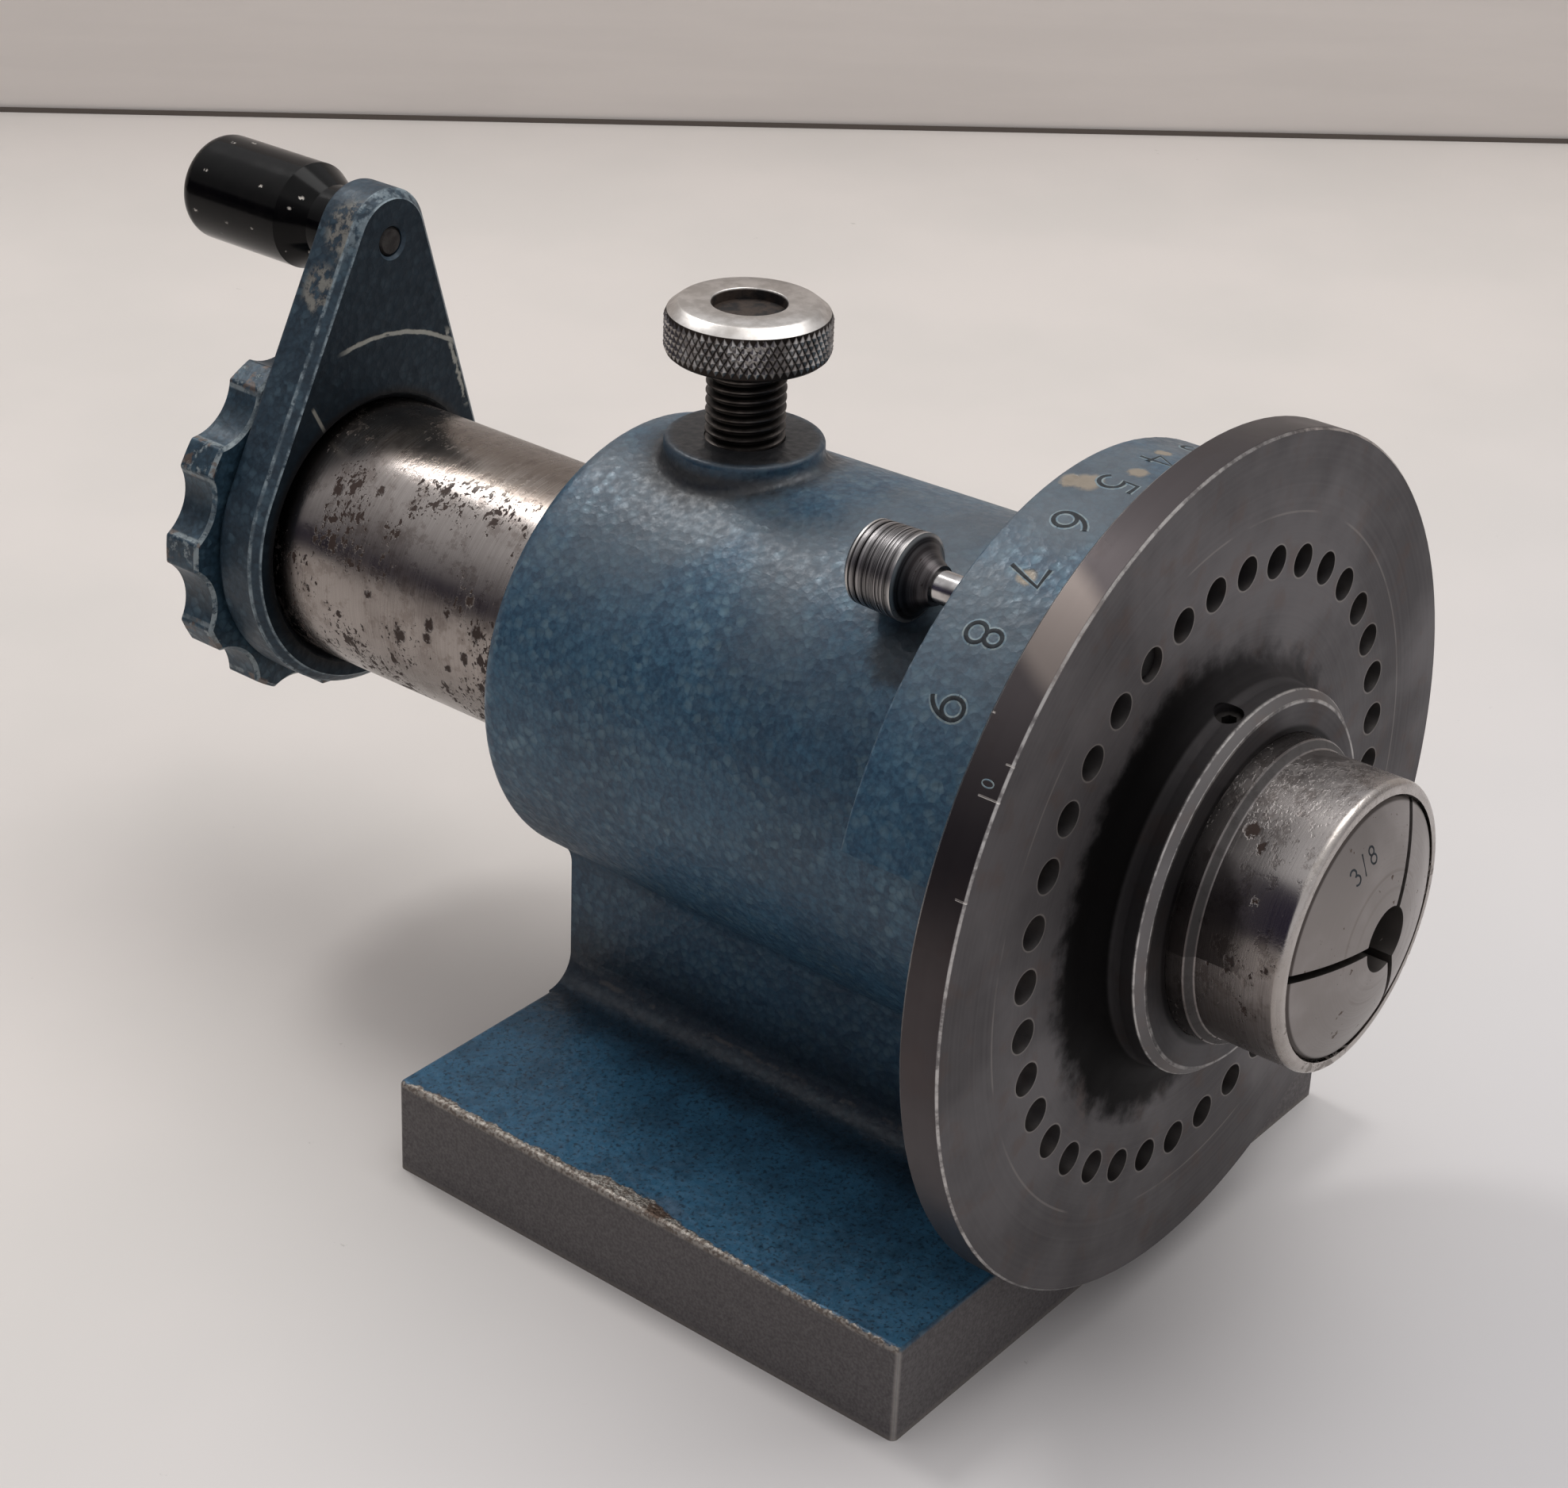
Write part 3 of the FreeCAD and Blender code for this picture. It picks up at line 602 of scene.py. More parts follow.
def ground_steel_finish():
    place = begin("ground_bar")
    radius, angle, y = around_spindle(place)
    on_bar = fade(y, barrel_rear - 10.5, barrel_rear - 0.5)
    on_nose = fade(y, hub_front + 0.4, hub_front - 0.4)
    tan_side = band(angle, math.radians(5), math.radians(115), 0.12)
    rubbed_and_highlit_top = band(angle, math.radians(20), math.radians(165), 0.2) * on_nose
    spots = rust_spots(place, 1, 0.175) * (1 - either(tan_side * on_bar, rubbed_and_highlit_top) * 0.85)
    shake = (noise(place, 1.3, detail=4, rough=0.65) - 0.5) * 4.2
    around = (angle + fade(angle, 0, -0.1) * (2 * math.pi)) * spindle_radius + shake
    for degrees, station, wide in large_spots:
        spots = either(spots, near_line(around, y, unrolled((degrees, station), spindle_radius), wide))
    stain = fade(noise(place, 0.06, detail=5, rough=0.6), 0.4, 0.68)
    streaks = noise(stretched(place, (0.06, 3.2, 0.06)), 1.6, detail=5)
    tone = paint(stain * 0.6, (150, 143, 139), (106, 97, 93))
    tone.coat(tan_side * on_bar * 0.75, (116, 104, 93))
    # painted highlight: the nose's upper side is painted paler; it also holds fewer rust spots
    tone.coat(rubbed_and_highlit_top * 0.6, (186, 181, 179))
    tone.coat(fade(streaks, 0.3, 0.75) * 0.3, (186, 180, 176))
    blotch = fade(noise(place, 0.35, detail=5, rough=0.7), 0.5, 0.62) * 0.4
    tone.coat(blotch, (98, 86, 80))
    tone.coat(spots, (58, 44, 38))
    low_side = fade(angle, math.radians(135), math.radians(160))
    from_hub = y + noise(place, 0.4, detail=4, rough=0.65) * 3 + low_side * 5 - hub_front
    # grime round the nose next to the hub, with painted shade making it darker and wider on the lower side
    near_hub = on_nose * fade(from_hub, -4.2, -1.2)
    tone.coat(near_hub * (0.4 + 0.35 * low_side), (44, 38, 37))
    # grime and painted shade: the bar is darkened where it enters the crank
    seat = fade(y, crank_front - 4, crank_front - 0.2)
    tone.coat(seat * 0.9, (24, 21, 20))
    lip = fade(y, nose_front + 1.6, nose_front + 0.5) * on_nose
    tone.coat(lip * 0.45, (200, 193, 185))
    # grime and painted shade: the shoulder's recess in front of the hub is painted black
    shoulder = band(radius, nose_radius + 0.15, spindle_radius - 0.2, 0.08) * on_nose
    tone.coat(shoulder * 0.8, (26, 23, 23))
    collar = fade(radius, spindle_radius - 0.2, spindle_radius - 0.08) * on_nose
    tone.coat(collar * (0.1 + 0.4 * stain), (34, 29, 28))
    rough = 0.18 + 0.08 * streaks + 0.4 * either(spots, shoulder) + 0.1 * stain
    return end(place, tone, rough, 1 - 0.7 * either(spots, shoulder),
               height=streaks * 0.006 - spots * 0.09 - blotch * 0.02)


finishes["spindle"] = ground_steel_finish()
print("spindle finish made")

# %% [markdown]
# The index plate is darker than the spindle: its steel has browned evenly under years of oil. Its edges,
# the rims of its holes and the chamfer of its hub are rubbed bright, and a black ring of grime sits round
# the hub, deepened with painted shade on the left, where the hub's side is also painted dark. The holes
# repeat every ten degrees, so the angle is folded into one tenth of a turn and the distance to one hole's
# middle serves them all.

# %% Index plate
hole_circle = 44.38
hole_radius = 2.425
hole_step = math.radians(10)
pin_angle = math.radians(118)
hub_radius = 28.125
scribed_ring = 51.3
scribed_marks = (
    (144.5, -55.2, -53.9), (148.8, -55.2, -51.9), (160.7, -55.2, -53.4), (139.6, -49.6, -48.6))


def hole_distance(radius, angle):
    """Distance to the nearest index hole's middle."""
    folded = angle.math("FLOORED_MODULO", angle - pin_angle + hole_step / 2, hole_step) - hole_step / 2
    return distance(radius * folded, radius - hole_circle)


def scribed(angle, y, degrees, start, finish):
    """A thin bright line across the rim."""
    off = abs(angle - math.radians(degrees)) * (plate_radius / mm)
    return fade(off, 0.16, 0.08) * band(y, start, finish, 0.1)


def index_plate_finish():
    place = begin("browned_steel")
    radius, angle, y = around_spindle(place)
    rim = plate_radius / mm
    turned = radius.add("ShaderNodeCombineXYZ", {}, {0: radius, 1: y * 0.4})
    rings = noise(turned, 1.5, detail=6, rough=0.6)
    cloud = noise(place, 0.045, detail=5, rough=0.55)
    tone = paint(fade(cloud, 0.35, 0.65), (102, 99, 100), (84, 81, 82))
    tone.coat(fade(rings, 0.35, 0.7) * 0.25, (116, 113, 113))
    brown = fade(noise(place, 0.2, detail=4), 0.52, 0.7)
    on_rim = fade(radius, rim - 0.5, rim - 0.3)
    tone.coat(brown * 0.3, (98, 78, 68))
    tone.coat(on_rim * 0.8, (72, 66, 67))
    # painted highlight: a paler patch on the rim's upper left, where the rim is also smoother
    middle = (math.radians(127.5) * rim - 31.1, -26)
    polish_and_highlight = near_line(angle * rim + y * 0.6, y * 0.5, middle, 9) * on_rim
    tone.coat(polish_and_highlight * 0.4, (164, 152, 144))

    flat = fade(radius, rim - 0.2, rim - 0.6)
    # side is 1 on the plate's left, away from the lamps, where painted shade deepens the grime round the
    # hub
    side = fade(split(place)[0], 14, -22)
    reach = radius + noise(place, 0.22, detail=5, rough=0.6) * 8 - side * 5.5
    grime_and_shade = flat * fade(reach, 37.6, 33) * fade(radius, 28, 28.6)
    tone.coat(grime_and_shade * (0.6 + 0.4 * side), (22, 21, 21))
    ring = fade(abs(radius - scribed_ring), 0.22, 0.08) * fade(noise(place, 0.06), 0.42, 0.55)
    tone.coat(ring * 0.35, (160, 154, 148))

    gap = hole_distance(radius, angle)
    burr = band(gap, hole_radius, hole_radius + 0.22, 0.06) * flat
    tone.coat(burr * 0.5, (150, 144, 138))
    nick = fade(noise(place, 0.3, detail=5, rough=0.7), 0.38, 0.6)
    front_edge = band(radius, rim - 0.36, rim + 0.1, 0.06) * fade(y, plate_front + 0.4, plate_front + 0.3)
    rear_edge = band(radius, rim - 0.42, rim + 0.1, 0.08) * fade(y, plate_rear - 0.46, plate_rear - 0.36)
    chamfer = fade(y, hub_front + 1.3, hub_front + 1.15) * fade(y, hub_front + 0.02, hub_front + 0.12)
    bright = either(either(front_edge, rear_edge * 0.7) * (0.2 + 0.6 * nick), chamfer * 0.12)
    rims = either(band(radius, hub_radius - 0.22, hub_radius + 0.1, 0.05),
                  band(y, hub_front - 0.05, hub_front + 0.12, 0.04))
    rims = rims * fade(y, hub_front + 1.5, hub_front + 1.3) * fade(radius, 26.4, 26.6)
    bright = either(bright, rims * (0.2 + 0.6 * nick))
    tone.coat(bright, (206, 202, 198))
    bore_edge = fade(radius, 23.6, 22.9) * fade(y, plate_front - 1, plate_front - 5)
    tone.coat(bore_edge * 0.85, (24, 22, 22))
    lines = scribed(angle, y, *scribed_marks[0])
    for mark in scribed_marks[1:]:
        lines = either(lines, scribed(angle, y, *mark))
    lines = lines * on_rim
    tone.coat(lines * 0.7, (200, 194, 188))
    # grime and painted shade: the hub's side is painted near black, most on the left
    hub_side = fade(radius, hub_radius + 0.3, hub_radius + 0.1)
    hub_side = hub_side * fade(y, plate_front - 0.2, plate_front - 1)
    tone.coat(hub_side * (1 - chamfer) * (0.2 + 0.4 * side), (20, 18, 20))

    rough = 0.46 + 0.14 * fade(cloud, 0.3, 0.7) + 0.2 * grime_and_shade - 0.2 * bright
    rough = rough - 0.14 * either(polish_and_highlight, on_rim)
    return end(place, tone, rough, 1, height=rings * 0.012 + brown * 0.01 - lines * 0.05)


finishes["index_plate"] = index_plate_finish()
print("plate finish made")

# %% Collet
def collet_finish():
    place = begin("spring_steel")
    radius = around_spindle(place)[0]
    warm = noise(place, 0.08, detail=4)
    tone = paint(fade(warm, 0.35, 0.65), (162, 156, 153), (143, 137, 133))
    rings = noise(radius.add("ShaderNodeCombineXYZ", {}, {0: radius}), 2.5, detail=5)
    ring = either(fade(abs(radius - 9.6), 0.35, 0.1), fade(abs(radius - 7.2), 0.3, 0.1) * 0.5)
    tone.coat(ring * fade(noise(place, 0.1), 0.4, 0.55) * 0.45, (120, 112, 106))
    spots = rust_spots(place, 0.8, 0.05)
    tone.coat(spots * 0.8, (88, 70, 58))
    edge = fade(radius, 18.2, 18.5)
    tone.coat(edge * 0.8, (60, 52, 48))
    return end(place, tone, 0.34 + 0.2 * spots + 0.08 * fade(rings, 0.3, 0.7), 1,
               height=rings * 0.006 - spots * 0.04)


# %% Small steel parts
pin_knob_rim = pin_knob_low[1] / mm + 3.8
pin_knob_rear = pin_knob_high[1] / mm


def turned_steel(name, light, dark, rough, marks, metal=1):
    """Steel with fine marks and cloudy tone; marks is the height of the marks in mm."""
    place = begin(name)
    cloud = noise(place, 0.5, detail=5, rough=0.6)
    fine = noise(stretched(place, (0.4, 4, 0.4)), 1.6, detail=4)
    tone = paint(fade(cloud, 0.34, 0.66), light, dark)
    return end(place, tone, rough + 0.16 * cloud, metal, height=fine * marks)


def index_knob_finish():
    """Dark turned steel, bright on its rims; its turning ridges are painted in dark and bright bands as
    painted highlights.
    """
    place = begin("turned_knob")
    y = split(place)[1]
    ridges = noise(y.add("ShaderNodeCombineXYZ", {}, {0: y}), 1.9, detail=4, rough=0.7)
    body = fade(y, pin_knob_rim - 0.1, pin_knob_rim + 0.3)
    # painted highlights: the turning ridges are painted in alternate dark and bright bands
    tone = paint(fade(ridges, 0.42, 0.58), (42, 40, 41), (158, 155, 155))
    tone.coat((1 - body) * 0.85, (56, 52, 53))
    rims = either(band(y, pin_knob_rim - 0.25, pin_knob_rim + 0.2, 0.12),
                  band(y, pin_knob_rear - 1, pin_knob_rear - 0.55, 0.12))
    tone.coat(rims * 0.8, (216, 212, 208))
    spots = rust_spots(place, 0.7, 0.08)
    tone.coat(spots * 0.7, (44, 36, 34))
    return end(place, tone, 0.26 + 0.2 * ridges, 1, height=ridges * 0.09 * body)


def pin_finish():
    """Bright ground steel, greasy and dark at the end that goes into the plate."""
    place = begin("bright_pin")
    greasy = fade(split(place)[1], -44, -50)
    cloud = noise(place, 0.5, detail=4)
    tone = paint(fade(cloud, 0.35, 0.65), (206, 203, 202), (168, 165, 164))
    tone.coat(greasy, (26, 24, 24))
    return end(place, tone, 0.18 + 0.3 * greasy + 0.06 * cloud, 1, height=cloud * 0.01)


finishes["collet"] = collet_finish()
finishes["index_knob"] = index_knob_finish()
finishes["index_pin"] = pin_finish()
finishes["draw_tube"] = turned_steel("tube_steel", (150, 142, 136), (116, 108, 102), 0.34, 0.01)
finishes["lock_shoe"] = turned_steel("brass", (188, 156, 92), (150, 120, 70), 0.32, 0.01)
black_screw = turned_steel("blackened_screw", (58, 55, 53), (36, 33, 32), 0.42, 0.01, 0.7)
for name in ("plate_set_screw", "crank_set_screw", "wheel_set_screw", "crank_bolt", "collet_key"):
    finishes[name] = black_screw
print("steel finishes", len(finishes))

# %% [markdown]
# ## Crank and wheel
#
# These two are handled the most, so their enamel is darker, greasy and rubbed through on every edge.
# The crank's face has a bevel, and the paint is gone along both of its borders; a mask on the place
# along the spindle and on the direction of the surface finds them. A pale curved scratch crosses the
# front, where something has rubbed while the crank was turned.

# %% Crank
crank_bevel = crank_front + 1.5
bolt_x = 4.706
bolt_z = 118.72
scratch_radius = 33.6
tip_wear = (122.5, 110)
edge_wear = (113.5, 111.5)


def crank_finish():
    place = begin("worn_crank_enamel")
    radius, angle, y = around_spindle(place)
    x, y, z = split(place)
    ragged = noise(place, 0.5, detail=5, rough=0.65) - 0.5
    tone, height, _ = hammertone(place, (24, 40, 52), (40, 60, 74), (84, 108, 120))
    backward = facing(place)[1]
    lean = abs(backward)
    outer = fade(lean, 0.4, 0.2)
    turned_front = fade(0 - backward, 0.9, 0.98)
    # painted shade: the crank's front face is painted darker, as it faces away from the light
    tone.coat(turned_front * 0.7, (20, 30, 38))
    off_bolt = fade(distance(x - bolt_x, z - bolt_z), 6, 7)
    bevel = band(lean, 0.55, 0.85, 0.06) * fade(y, crank_bevel + 0.4, crank_bevel + 0.1) * off_bolt
    border = either(fade(y, crank_front + 0.4, crank_front + 0.15),
                    fade(y, crank_bevel - 0.4, crank_bevel - 0.15))
    rubbed = band(y, crank_bevel - 0.1, crank_bevel + 0.25, 0.12) * outer
    broken = fade(noise(place, 0.28, detail=5, rough=0.7), 0.4, 0.56)
    worn = either(bevel * border, rubbed) * fade(ragged, -0.16, 0) * (0.25 + 0.75 * broken)
    tip = fade(z + ragged * 8, 116, 123.5) * bevel * fade(ragged, -0.06, 0.1)
    tone.coat(either(worn * 0.75, tip * 0.5), (146, 160, 166))

    arc = fade(abs(radius - scratch_radius + ragged * 0.8), 0.5, 0.25)
    arc = arc * band(angle, math.radians(56), math.radians(101), 0.06)
    short = fade(abs(angle - math.radians(118.3)) * radius, 0.42, 0.2) * band(radius, 23.5, 28.6, 0.5)
    from_edge = 47.41 - x * 0.957 - z * 0.289
    graze = band(from_edge + ragged * 2.2, 1.9, 2.6, 0.2) * band(z, 86, 100.5, 1)
    graze = graze * fade(noise(place, 0.5, detail=4), 0.4, 0.5)
    scratch = either(arc, either(short, graze)) * turned_front * fade(ragged, -0.22, -0.12)
    tone.coat(scratch * 0.9, (160, 160, 152))

    near_tip = near_line(z + ragged * 5, y + ragged * 3, tip_wear, 5)
    lower = near_line(z + ragged * 6, y + ragged * 4, edge_wear, 4.2)
    tan = either(lower, near_tip) * outer * fade(x, 2, -1)
    tan = tan * fade(noise(place, 0.5, detail=4, rough=0.7), 0.42, 0.54)
    tone.coat(tan * 0.8, paint(fade(ragged, -0.1, 0.1), (82, 72, 66), (132, 130, 122)))
    # grime and painted shade in the ring round the crank's bore
    hem = fade(radius, 25.2, 23.4) * fade(y, crank_front + 2, crank_front + 1)
    tone.coat(hem * 0.8, dark_grime)
    return end(place, tone, 0.42 + 0.14 * fade(ragged, -0.2, 0.2), 0.2 + 0.5 * turned_front,
               height=height * 0.8 - worn * 0.06 - scratch * 0.05)


# %% Wheel
wheel_radius = 31.37


def wheel_finish():
    place = begin("worn_wheel_enamel")
    radius, _, y = around_spindle(place)
    ragged = noise(place, 0.5, detail=5, rough=0.65) - 0.5
    tone, height, _ = hammertone(place, (26, 44, 56), (44, 68, 84), (92, 118, 130))
    lean = abs(facing(place)[1])
    near_face = either(fade(y, wheel_front + 1, wheel_front + 0.5),
                       fade(y, wheel_rear - 1, wheel_rear - 0.5))
    slanted = band(lean, 0.4, 0.9, 0.08)
    land = fade(radius, wheel_radius - 1.1, wheel_radius - 0.7)
    corner = band(radius, wheel_radius - 0.9, wheel_radius - 0.35, 0.12)
    crest = fade(lean, 0.4, 0.2)
    worn = either(either(near_face * slanted, corner * crest * 0.8) * fade(ragged, -0.14, 0),
                  land * fade(ragged, 0.06, 0.16))
    broken = fade(noise(place, 0.28, detail=5, rough=0.7), 0.38, 0.56)
    worn = worn * (0.3 + 0.7 * broken)
    tone.coat(worn * 0.7, (152, 162, 164))
    rust = land * fade(noise(place, 0.35, detail=4), 0.56, 0.62)
    tone.coat(rust * 0.7, (96, 78, 66))
    hollow = fade(radius, wheel_radius - 1.6, wheel_radius - 2.6) * crest
    tone.coat(hollow * 0.3, (26, 34, 40))
    return end(place, tone, 0.44, 0.2, height=height * 0.8 - worn * 0.06)


finishes["crank_arm"] = crank_finish()
finishes["handwheel"] = wheel_finish()
print("crank and wheel finishes made")

# %% [markdown]
# ## Grip
#
# The grip is hard black plastic with a high polish. It has picked up a few chips, short and pale, which
# the cells of one pattern scatter: only the cells with the highest random value show one.

# %% Grip
def grip_finish():
    place = begin("black_grip")
    drawn = stretched(place, (1, 0.6, 1))
    spot = cells(drawn, 0.5)
    pick = split(cells(drawn, 0.5, output=1))[0]
    fleck = fade(spot, 0.22, 0.12) * fade(pick, 0.66, 0.68)
    fleck = fleck * fade(noise(place, 1.8, detail=3), 0.44, 0.52)
    haze = noise(place, 0.4, detail=4)
    tone = paint(fade(haze, 0.4, 0.7), (4, 4, 4), (9, 8, 8))
    tone.coat(fleck, (196, 190, 182))
    return end(place, tone, 0.1 + 0.08 * haze + 0.4 * fleck, 0, height=fleck * -0.1,
               Specular_IOR_Level=0.15)


finishes["handle_grip"] = grip_finish()
finishes["lock_stud"] = black_screw
finishes["lock_knob"] = black_screw
for name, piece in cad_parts.items():
    piece.data.materials.clear()
    piece.data.materials.append(finishes[name])
print("finishes", len(finishes), "nodes", len(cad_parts))

# %% [markdown]
# ## Tools for new pieces
#
# A new piece starts as a primitive at its size and place. Its mesh is then joined with the others of
# the same piece, its place is applied, so that the object sits at the origin as the model's own pieces
# do, and it is told which body carries it.


# %% Words for modelling
def fresh():
    """Leaves edit mode and deselects everything, before a new primitive."""
    if bpy.context.mode != "OBJECT":
        bpy.ops.object.mode_set(mode="OBJECT")
    bpy.ops.object.select_all(action="DESELECT")


def pick_faces(piece, test):
    """Selects the faces whose middle and normal pass a test, and goes to edit mode."""
    bpy.ops.object.mode_set(mode="EDIT")
    bpy.ops.mesh.select_mode(type="FACE")
    bpy.ops.mesh.select_all(action="DESELECT")
    bpy.ops.object.mode_set(mode="OBJECT")
    place = piece.matrix_world
    for face in piece.data.polygons:
        face.select = test(place @ face.center, face.normal)
    bpy.ops.object.mode_set(mode="EDIT")


def settle(piece, name, body, smooth=30):
    """Applies the piece's place, smooths it by angle, names it and gives it its body."""
    fresh()
    piece.select_set(True)
    bpy.context.view_layer.objects.active = piece
    bpy.ops.object.transform_apply(location=True, rotation=True, scale=True)
    bpy.ops.object.shade_smooth_by_angle(angle=math.radians(smooth))
    piece.name = name
    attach(piece, body)
    print(name, "faces", len(piece.data.polygons))


def join(pieces):
    fresh()
    for piece in pieces:
        piece.select_set(True)
    bpy.context.view_layer.objects.active = pieces[0]
    bpy.ops.object.join()
    return pieces[0]


# %% [markdown]
# ## Knurled knob
#
# The spindle lock's knob is a short steel cylinder with a polished bevel on top, a shallow hole, and a
# diamond knurl round its side. The body is a cylinder whose top face is inset several times, which
# turns the bevel, the flat ring and the hole in one go. One diamond of the knurl is a flat four-sided
# cone. It is copied up a zigzag of five, and then everything is doubled six times, turned by twice as
# much each time, which gives 64 columns that interlock as real knurling does.

# %% Knob body
knob_radius = (knob_high[0] - knob_low[0]) / 2
knurl_depth = 0.4 * mm
knurl_low = knob_low[2] + 0.4 * mm
knurl_high = knob_low[2] + 6.6 * mm
top_insets = ((0.12, 0.10), (1.25, 1), (0.4, 0.19), (4.38, 0), (0.3, -0.25), (0.02, -1.4))


def knob_body():
    fresh()
    bpy.ops.mesh.primitive_cylinder_add(
        vertices=120, radius=knob_radius - knurl_depth, depth=knurl_high - knurl_low,
        location=(0, lock_y, (knurl_low + knurl_high) / 2))
    knob = bpy.context.object
    pick_faces(knob, lambda middle, normal: normal.z > 0.9)
    for thickness, rise in top_insets:
        bpy.ops.mesh.inset(thickness=thickness * mm, depth=rise * mm)
    pick_faces(knob, lambda middle, normal: normal.z < -0.9)
    bpy.ops.mesh.inset(thickness=0.45 * mm, depth=0.4 * mm)
    return knob


# %% Knurl
knurl_doublings = 6
knurl_columns = 2 ** knurl_doublings
knurl_rows = 3
knurl_pitch = (knurl_high - knurl_low) / knurl_rows
knurl_step = 2 * math.pi / knurl_columns


def copy_turned(turn, rise=0):
    """Copies what is selected in edit mode, lifts the copy and turns it round the lock's axis."""
    bpy.ops.mesh.duplicate()
    bpy.ops.transform.translate(value=(0, 0, rise))
    bpy.ops.transform.rotate(value=turn, orient_axis="Z", center_override=(0, lock_y, 0))


def knurl():
    fresh()
    bpy.ops.mesh.primitive_cone_add(
        vertices=4, radius1=1, radius2=0.12, depth=1,
        location=(knob_radius - knurl_depth / 2, lock_y, knurl_low + knurl_pitch / 2),
        rotation=(0, math.pi / 2, 0))
    diamond = bpy.context.object
    diamond.scale = (knurl_pitch / 2, knob_radius * knurl_step / 2, knurl_depth)
    bpy.ops.object.transform_apply(location=True, rotation=True, scale=True)
    bpy.ops.object.mode_set(mode="EDIT")
    bpy.ops.mesh.select_all(action="SELECT")
    for row in range(2 * knurl_rows - 2):
        side = 0.5 if row % 2 == 0 else -0.5
        copy_turned(side * knurl_step, knurl_pitch / 2)
    for doubling in range(knurl_doublings):
        bpy.ops.mesh.select_all(action="SELECT")
        copy_turned(knurl_step * 2 ** doubling)
    return diamond


# %% Knob finish and knob
knob_dent = (-9, 127)


def knob_finish():
    """Silver on top, grimy between the diamonds, brown and rough in the hole."""
    place = begin("knurled_steel")
    x, _, z = split(place)
    out = around_lock(place)
    cloud = noise(place, 0.35, detail=5, rough=0.6)
    rings = noise(out.add("ShaderNodeCombineXYZ", {}, {0: out, 1: z}), 3, detail=4)
    tone = paint(fade(cloud, 0.34, 0.66), (214, 210, 206), (182, 177, 172))
    side = fade(z, knurl_high / mm + 0.05, knurl_high / mm - 0.05) * fade(out, 11, 11.5)
    crest = fade(out, 12, 12.2)
    rubbed = paint(fade(cloud, 0.4, 0.6), (186, 182, 178), (138, 132, 128))
    tone.coat(side, paint(crest, (54, 48, 45), rubbed))
    dent = near_line(x, z, knob_dent, 2.4) * fade(noise(place, 1.1, detail=3), 0.5, 0.56)
    tone.coat(dent, (206, 202, 198))
    hollow = fade(out, 5.8, 5.6) * fade(z, 127.5, 128.5)
    tone.coat(hollow, paint(fade(cloud, 0.4, 0.6), (58, 47, 40), (24, 20, 19)))
    rough = 0.26 + 0.1 * cloud + 0.4 * hollow + 0.2 * side * (1 - crest)
    relief = rings * 0.008 + cloud * 0.3 * hollow
    return end(place, tone, rough, 1 - 0.7 * hollow, height=relief)


knob = join([knob_body(), knurl()])
knob.data.materials.append(knob_finish())
settle(knob, "knurled_knob", "lock")
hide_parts("lock_knob")

# %% [markdown]
# ## Threaded stud
#
# The lock's stud is a screw of 12 mm with a pitch of 1.5 mm. A single point is pulled along the outline
# of one thread, and the Screw modifier winds this outline up the stud, which is how a thread is cut. A
# plain core closes the thread's root and its end, and a collar joins it to the knob.

# %% Thread
thread_pitch = 1.5 * mm
thread_crest = (stud_high[0] - stud_low[0]) / 2
thread_depth = 0.8 * mm
thread_turns = int((knob_low[2] - stud_low[2]) / thread_pitch) - 1
collar_height = 1.2 * mm


def thread():
    fresh()
    start = stud_low[2] + 0.8 * mm
    bpy.ops.mesh.primitive_plane_add(size=mm, location=(0, lock_y, start))
    winding = bpy.context.object
    bpy.ops.object.mode_set(mode="EDIT")
    bpy.ops.mesh.select_mode(type="VERT")
    bpy.ops.mesh.select_all(action="SELECT")
    bpy.ops.mesh.merge(type="CENTER")
    bpy.ops.transform.translate(value=(thread_crest - thread_depth, 0, 0))
    for out, rise in ((thread_depth, 0.5 * mm), (0, 0.25 * mm), (-thread_depth, 0.5 * mm), (0, 0.25 * mm)):
        bpy.ops.mesh.extrude_region_move(TRANSFORM_OT_translate={"value": (out, 0, rise)})
    bpy.ops.object.mode_set(mode="OBJECT")
    screw = winding.modifiers.new("thread", "SCREW")
    screw.axis = "Z"
    screw.steps = screw.render_steps = 40
    screw.iterations = thread_turns
    screw.screw_offset = thread_pitch
    screw.use_merge_vertices = True
    screw.merge_threshold = 0.01 * mm
    bpy.ops.object.modifier_apply(modifier=screw.name)
    outward = sum(face.normal.dot(Vector((*face.center.xy, 0))) for face in winding.data.polygons)
    if outward < 0:
        bpy.ops.object.mode_set(mode="EDIT")
        bpy.ops.mesh.select_all(action="SELECT")
        bpy.ops.mesh.flip_normals()
        bpy.ops.object.mode_set(mode="OBJECT")
    return winding


def plain_rod(radius, low, high, edge):
    """A rod along Z with a small bevel on both ends."""
    fresh()
    bpy.ops.mesh.primitive_cylinder_add(
        vertices=40, radius=radius, depth=high - low, location=(0, lock_y, (low + high) / 2))
    rod = bpy.context.object
    pick_faces(rod, lambda middle, normal: abs(normal.z) > 0.9)
    bpy.ops.mesh.bevel(offset=edge, segments=1, affect="EDGES")
    return rod


def stud_finish():
    """Black oily thread, with a painted highlight of grey on its crests."""
    place = begin("oily_thread")
    collar_foot = (knob_low[2] - collar_height) / mm
    collar = fade(split(place)[2], collar_foot - 0.1, collar_foot + 0.1)
    cloud = noise(place, 0.4, detail=4)
    # painted highlight: the crests are painted grey over the black roots
    rubbed = paint(fade(cloud, 0.35, 0.65), (96, 90, 86), (66, 61, 58))
    tone = paint(fade(around_lock(place), 5.5, 5.95), (30, 27, 25), rubbed)
    tone.coat(collar * 0.6, (46, 40, 37))
    return end(place, tone, 0.3 + 0.2 * cloud, 0.9, height=cloud * 0.03)


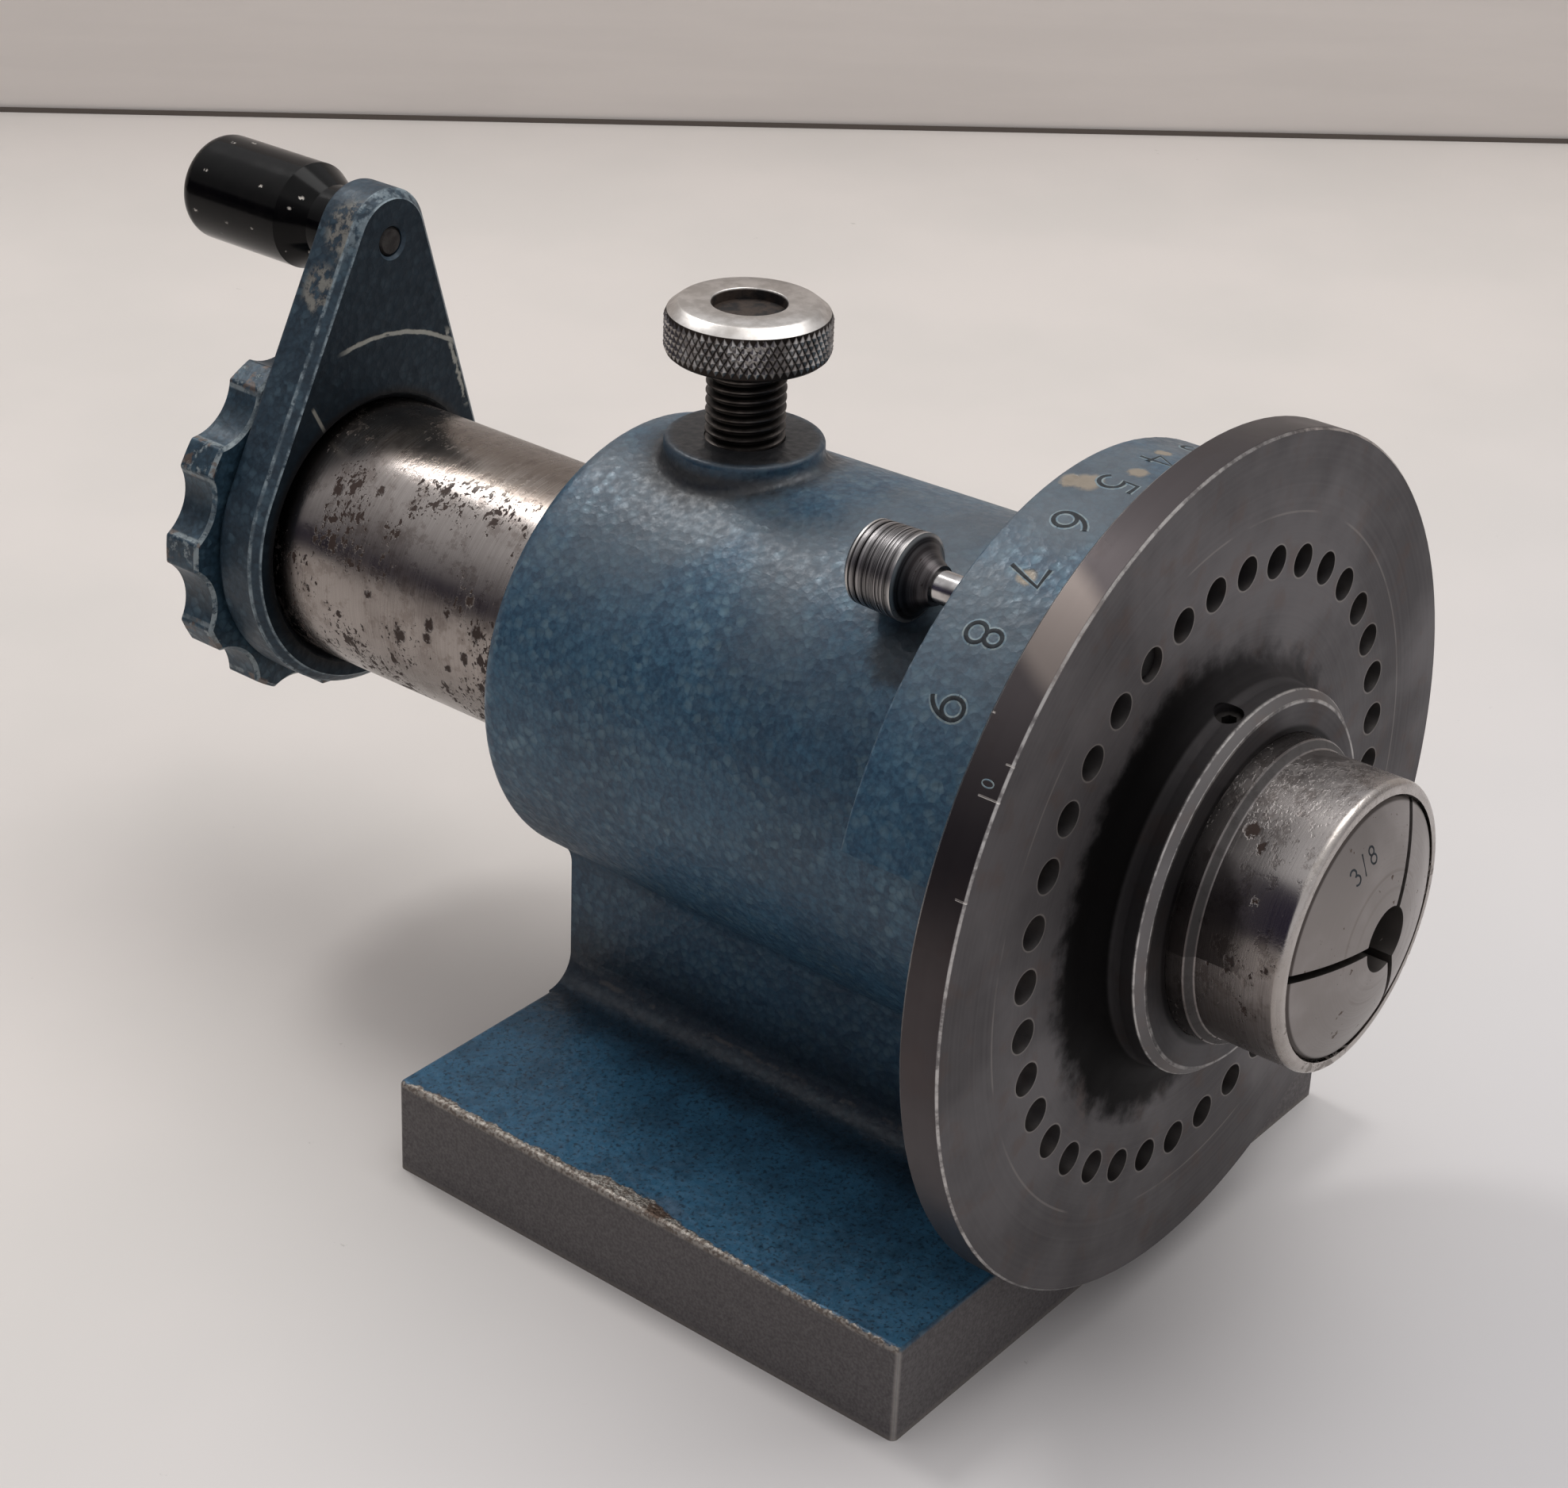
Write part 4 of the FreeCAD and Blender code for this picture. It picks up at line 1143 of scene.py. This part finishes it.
stud = join([
    thread(),
    plain_rod(thread_crest - thread_depth + 0.02 * mm, stud_low[2], knob_low[2] + 0.3 * mm, 0.5 * mm),
    plain_rod(thread_crest - 0.1 * mm, knob_low[2] - collar_height, knob_low[2] + 0.3 * mm, 0.15 * mm),
])
stud.data.materials.append(stud_finish())
settle(stud, "threaded_stud", "lock", smooth=35)
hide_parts("lock_stud")

# %% [markdown]
# ## Stamped numbers
#
# The vernier's numbers are stamped through the enamel with hand punches. They show as thin dark strokes,
# painted shade in the grooves, with a pale rim beside them, painted light where the edge catches the lamp
# and worn paint. They are plain punch numerals, so each one is a few lines and arcs, given as points in a
# box of height 1. The strokes become thin round curves, then a mesh, which is flattened and laid round the
# sector. A wider and flatter set below it is the pale rim. The collet's size, 3/8 of an inch, and the
# plate's small zero come from the same strokes.

# %% Strokes
def arc(middle, wide, high, start, finish, steps=16):
    angles = [math.radians(start + (finish - start) * n / steps) for n in range(steps + 1)]
    return [(middle[0] + wide * math.cos(a), middle[1] + high * math.sin(a)) for a in angles]


glyph_width = 0.6
strokes = {
    "0": [arc((0.3, 0.5), 0.28, 0.5, 0, 360, 24)],
    "1": [[(0.12, 0.8), (0.32, 1), (0.32, 0)]],
    "2": [arc((0.3, 0.71), 0.28, 0.29, 170, -40) + [(0.02, 0), (0.6, 0)]],
    "3": [arc((0.28, 0.76), 0.24, 0.24, 150, -90), arc((0.28, 0.27), 0.3, 0.27, 80, -150)],
    "4": [[(0.45, 0), (0.45, 1), (0, 0.32), (0.6, 0.32)]],
    "5": [[(0.55, 1), (0.12, 1)] + arc((0.27, 0.32), 0.31, 0.32, 125, -145)],
    "6": [arc((0.3, 0.3), 0.28, 0.3, 0, 360, 22), arc((0.62, 0.3), 0.6, 0.7, 180, 105)],
    "7": [[(0, 1), (0.6, 1), (0.22, 0)]],
    "8": [arc((0.3, 0.76), 0.22, 0.24, 0, 360, 20), arc((0.3, 0.27), 0.28, 0.27, 0, 360, 20)],
    "/": [[(0.1, -0.1), (0.5, 1.1)]],
}
strokes["9"] = [[(glyph_width - x, 1 - y) for x, y in line] for line in strokes["6"]]


def write(text, height, stroke_radius, spacing):
    """A curve object with the text's strokes, centred on its own origin, in metres."""
    data = bpy.data.curves.new("strokes", "CURVE")
    data.dimensions = "3D"
    data.bevel_depth = stroke_radius
    data.bevel_resolution = 1
    data.use_fill_caps = True
    for place, letter in enumerate(text):
        left = (place - (len(text) - 1) / 2) * spacing - glyph_width * height / 2
        for line in strokes[letter]:
            spline = data.splines.new("POLY")
            spline.points.add(len(line) - 1)
            for point, (x, y) in zip(spline.points, line):
                point.co = (left + x * height, (y - 0.5) * height, 0, 1)
    writing = bpy.data.objects.new("writing", data)
    bpy.context.collection.objects.link(writing)
    fresh()
    writing.select_set(True)
    bpy.context.view_layer.objects.active = writing
    bpy.ops.object.convert(target="MESH")
    return bpy.context.object


def lay(writing, flatten, where):
    """Moves every point of the flat writing to its place on the piece."""
    for vertex in writing.data.vertices:
        right, up, out = vertex.co
        vertex.co = where(right, up, out * flatten)
    return writing


def on_drum(degrees, radius, station):
    """Places writing on a drum round the spindle, its top towards the collet."""
    def where(right, up, out):
        angle = math.radians(degrees) + right / radius
        reach = radius + out
        return (reach * math.cos(angle), station - up, axis_z + reach * math.sin(angle))
    return where


# %% Vernier numbers
number_height = 5.3 * mm
number_station = -38.1 * mm
vernier_radius = 54.779 * mm
vernier_start = 41
vernier_step = 11


def punch_finish(name, dark, light, rough):
    place = begin(name)
    cloud = noise(place, 1.1, detail=4)
    tone = paint(fade(cloud, 0.38, 0.62), dark, light)
    return end(place, tone, rough + 0.1 * cloud, 0.2, height=cloud * 0.03)


# painted shade: the dark strokes in the punched grooves; painted light and worn paint: the pale strokes
# beside them
groove_shade_finish = punch_finish("punched_groove_shade", (16, 22, 28), (36, 44, 50), 0.6)
pale_stroke_finish = punch_finish("pale_punch_strokes", (96, 116, 128), (128, 140, 142), 0.45)


def vernier(stroke_radius, finish, name, lift):
    digits = []
    for number in range(10):
        writing = write(str(number), number_height, stroke_radius, 0)
        degrees = vernier_start + vernier_step * number
        digits.append(lay(writing, lift, on_drum(degrees, vernier_radius, number_station)))
    numbers = join(digits)
    numbers.data.materials.append(finish)
    settle(numbers, name, "frame")


vernier(0.42 * mm, groove_shade_finish, "vernier_numbers", 0.22)
vernier(0.58 * mm, pale_stroke_finish, "vernier_pale_rims", 0.09)

# %% Zero on the plate and size on the collet
zero = lay(write("0", 1.7 * mm, 0.1 * mm, 0), 0.3, on_drum(147.3, plate_radius, -52.6 * mm))
zero.data.materials.append(pale_stroke_finish)
settle(zero, "plate_zero", "plate")

size_radius = 13.9 * mm
size_angle = math.radians(112)
collet_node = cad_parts["collet"]
bpy.context.view_layer.update()


def on_collet_face(right, up, out):
    """Places writing on the collet's domed face, read clockwise, its top outwards."""
    angle = size_angle - right / size_radius
    reach = size_radius + up
    x = reach * math.cos(angle)
    z = axis_z + reach * math.sin(angle)
    place = collet_node.ray_cast(Vector((x, -0.2, z)), Vector((0, 1, 0)))[1]
    return (x, place.y - out, z)


size_mark = lay(write("3/8", 2.4 * mm, 0.15 * mm, 2.2 * mm), 0.3, on_collet_face)
size_mark.data.materials.append(groove_shade_finish)
settle(size_mark, "size_mark", "collet")
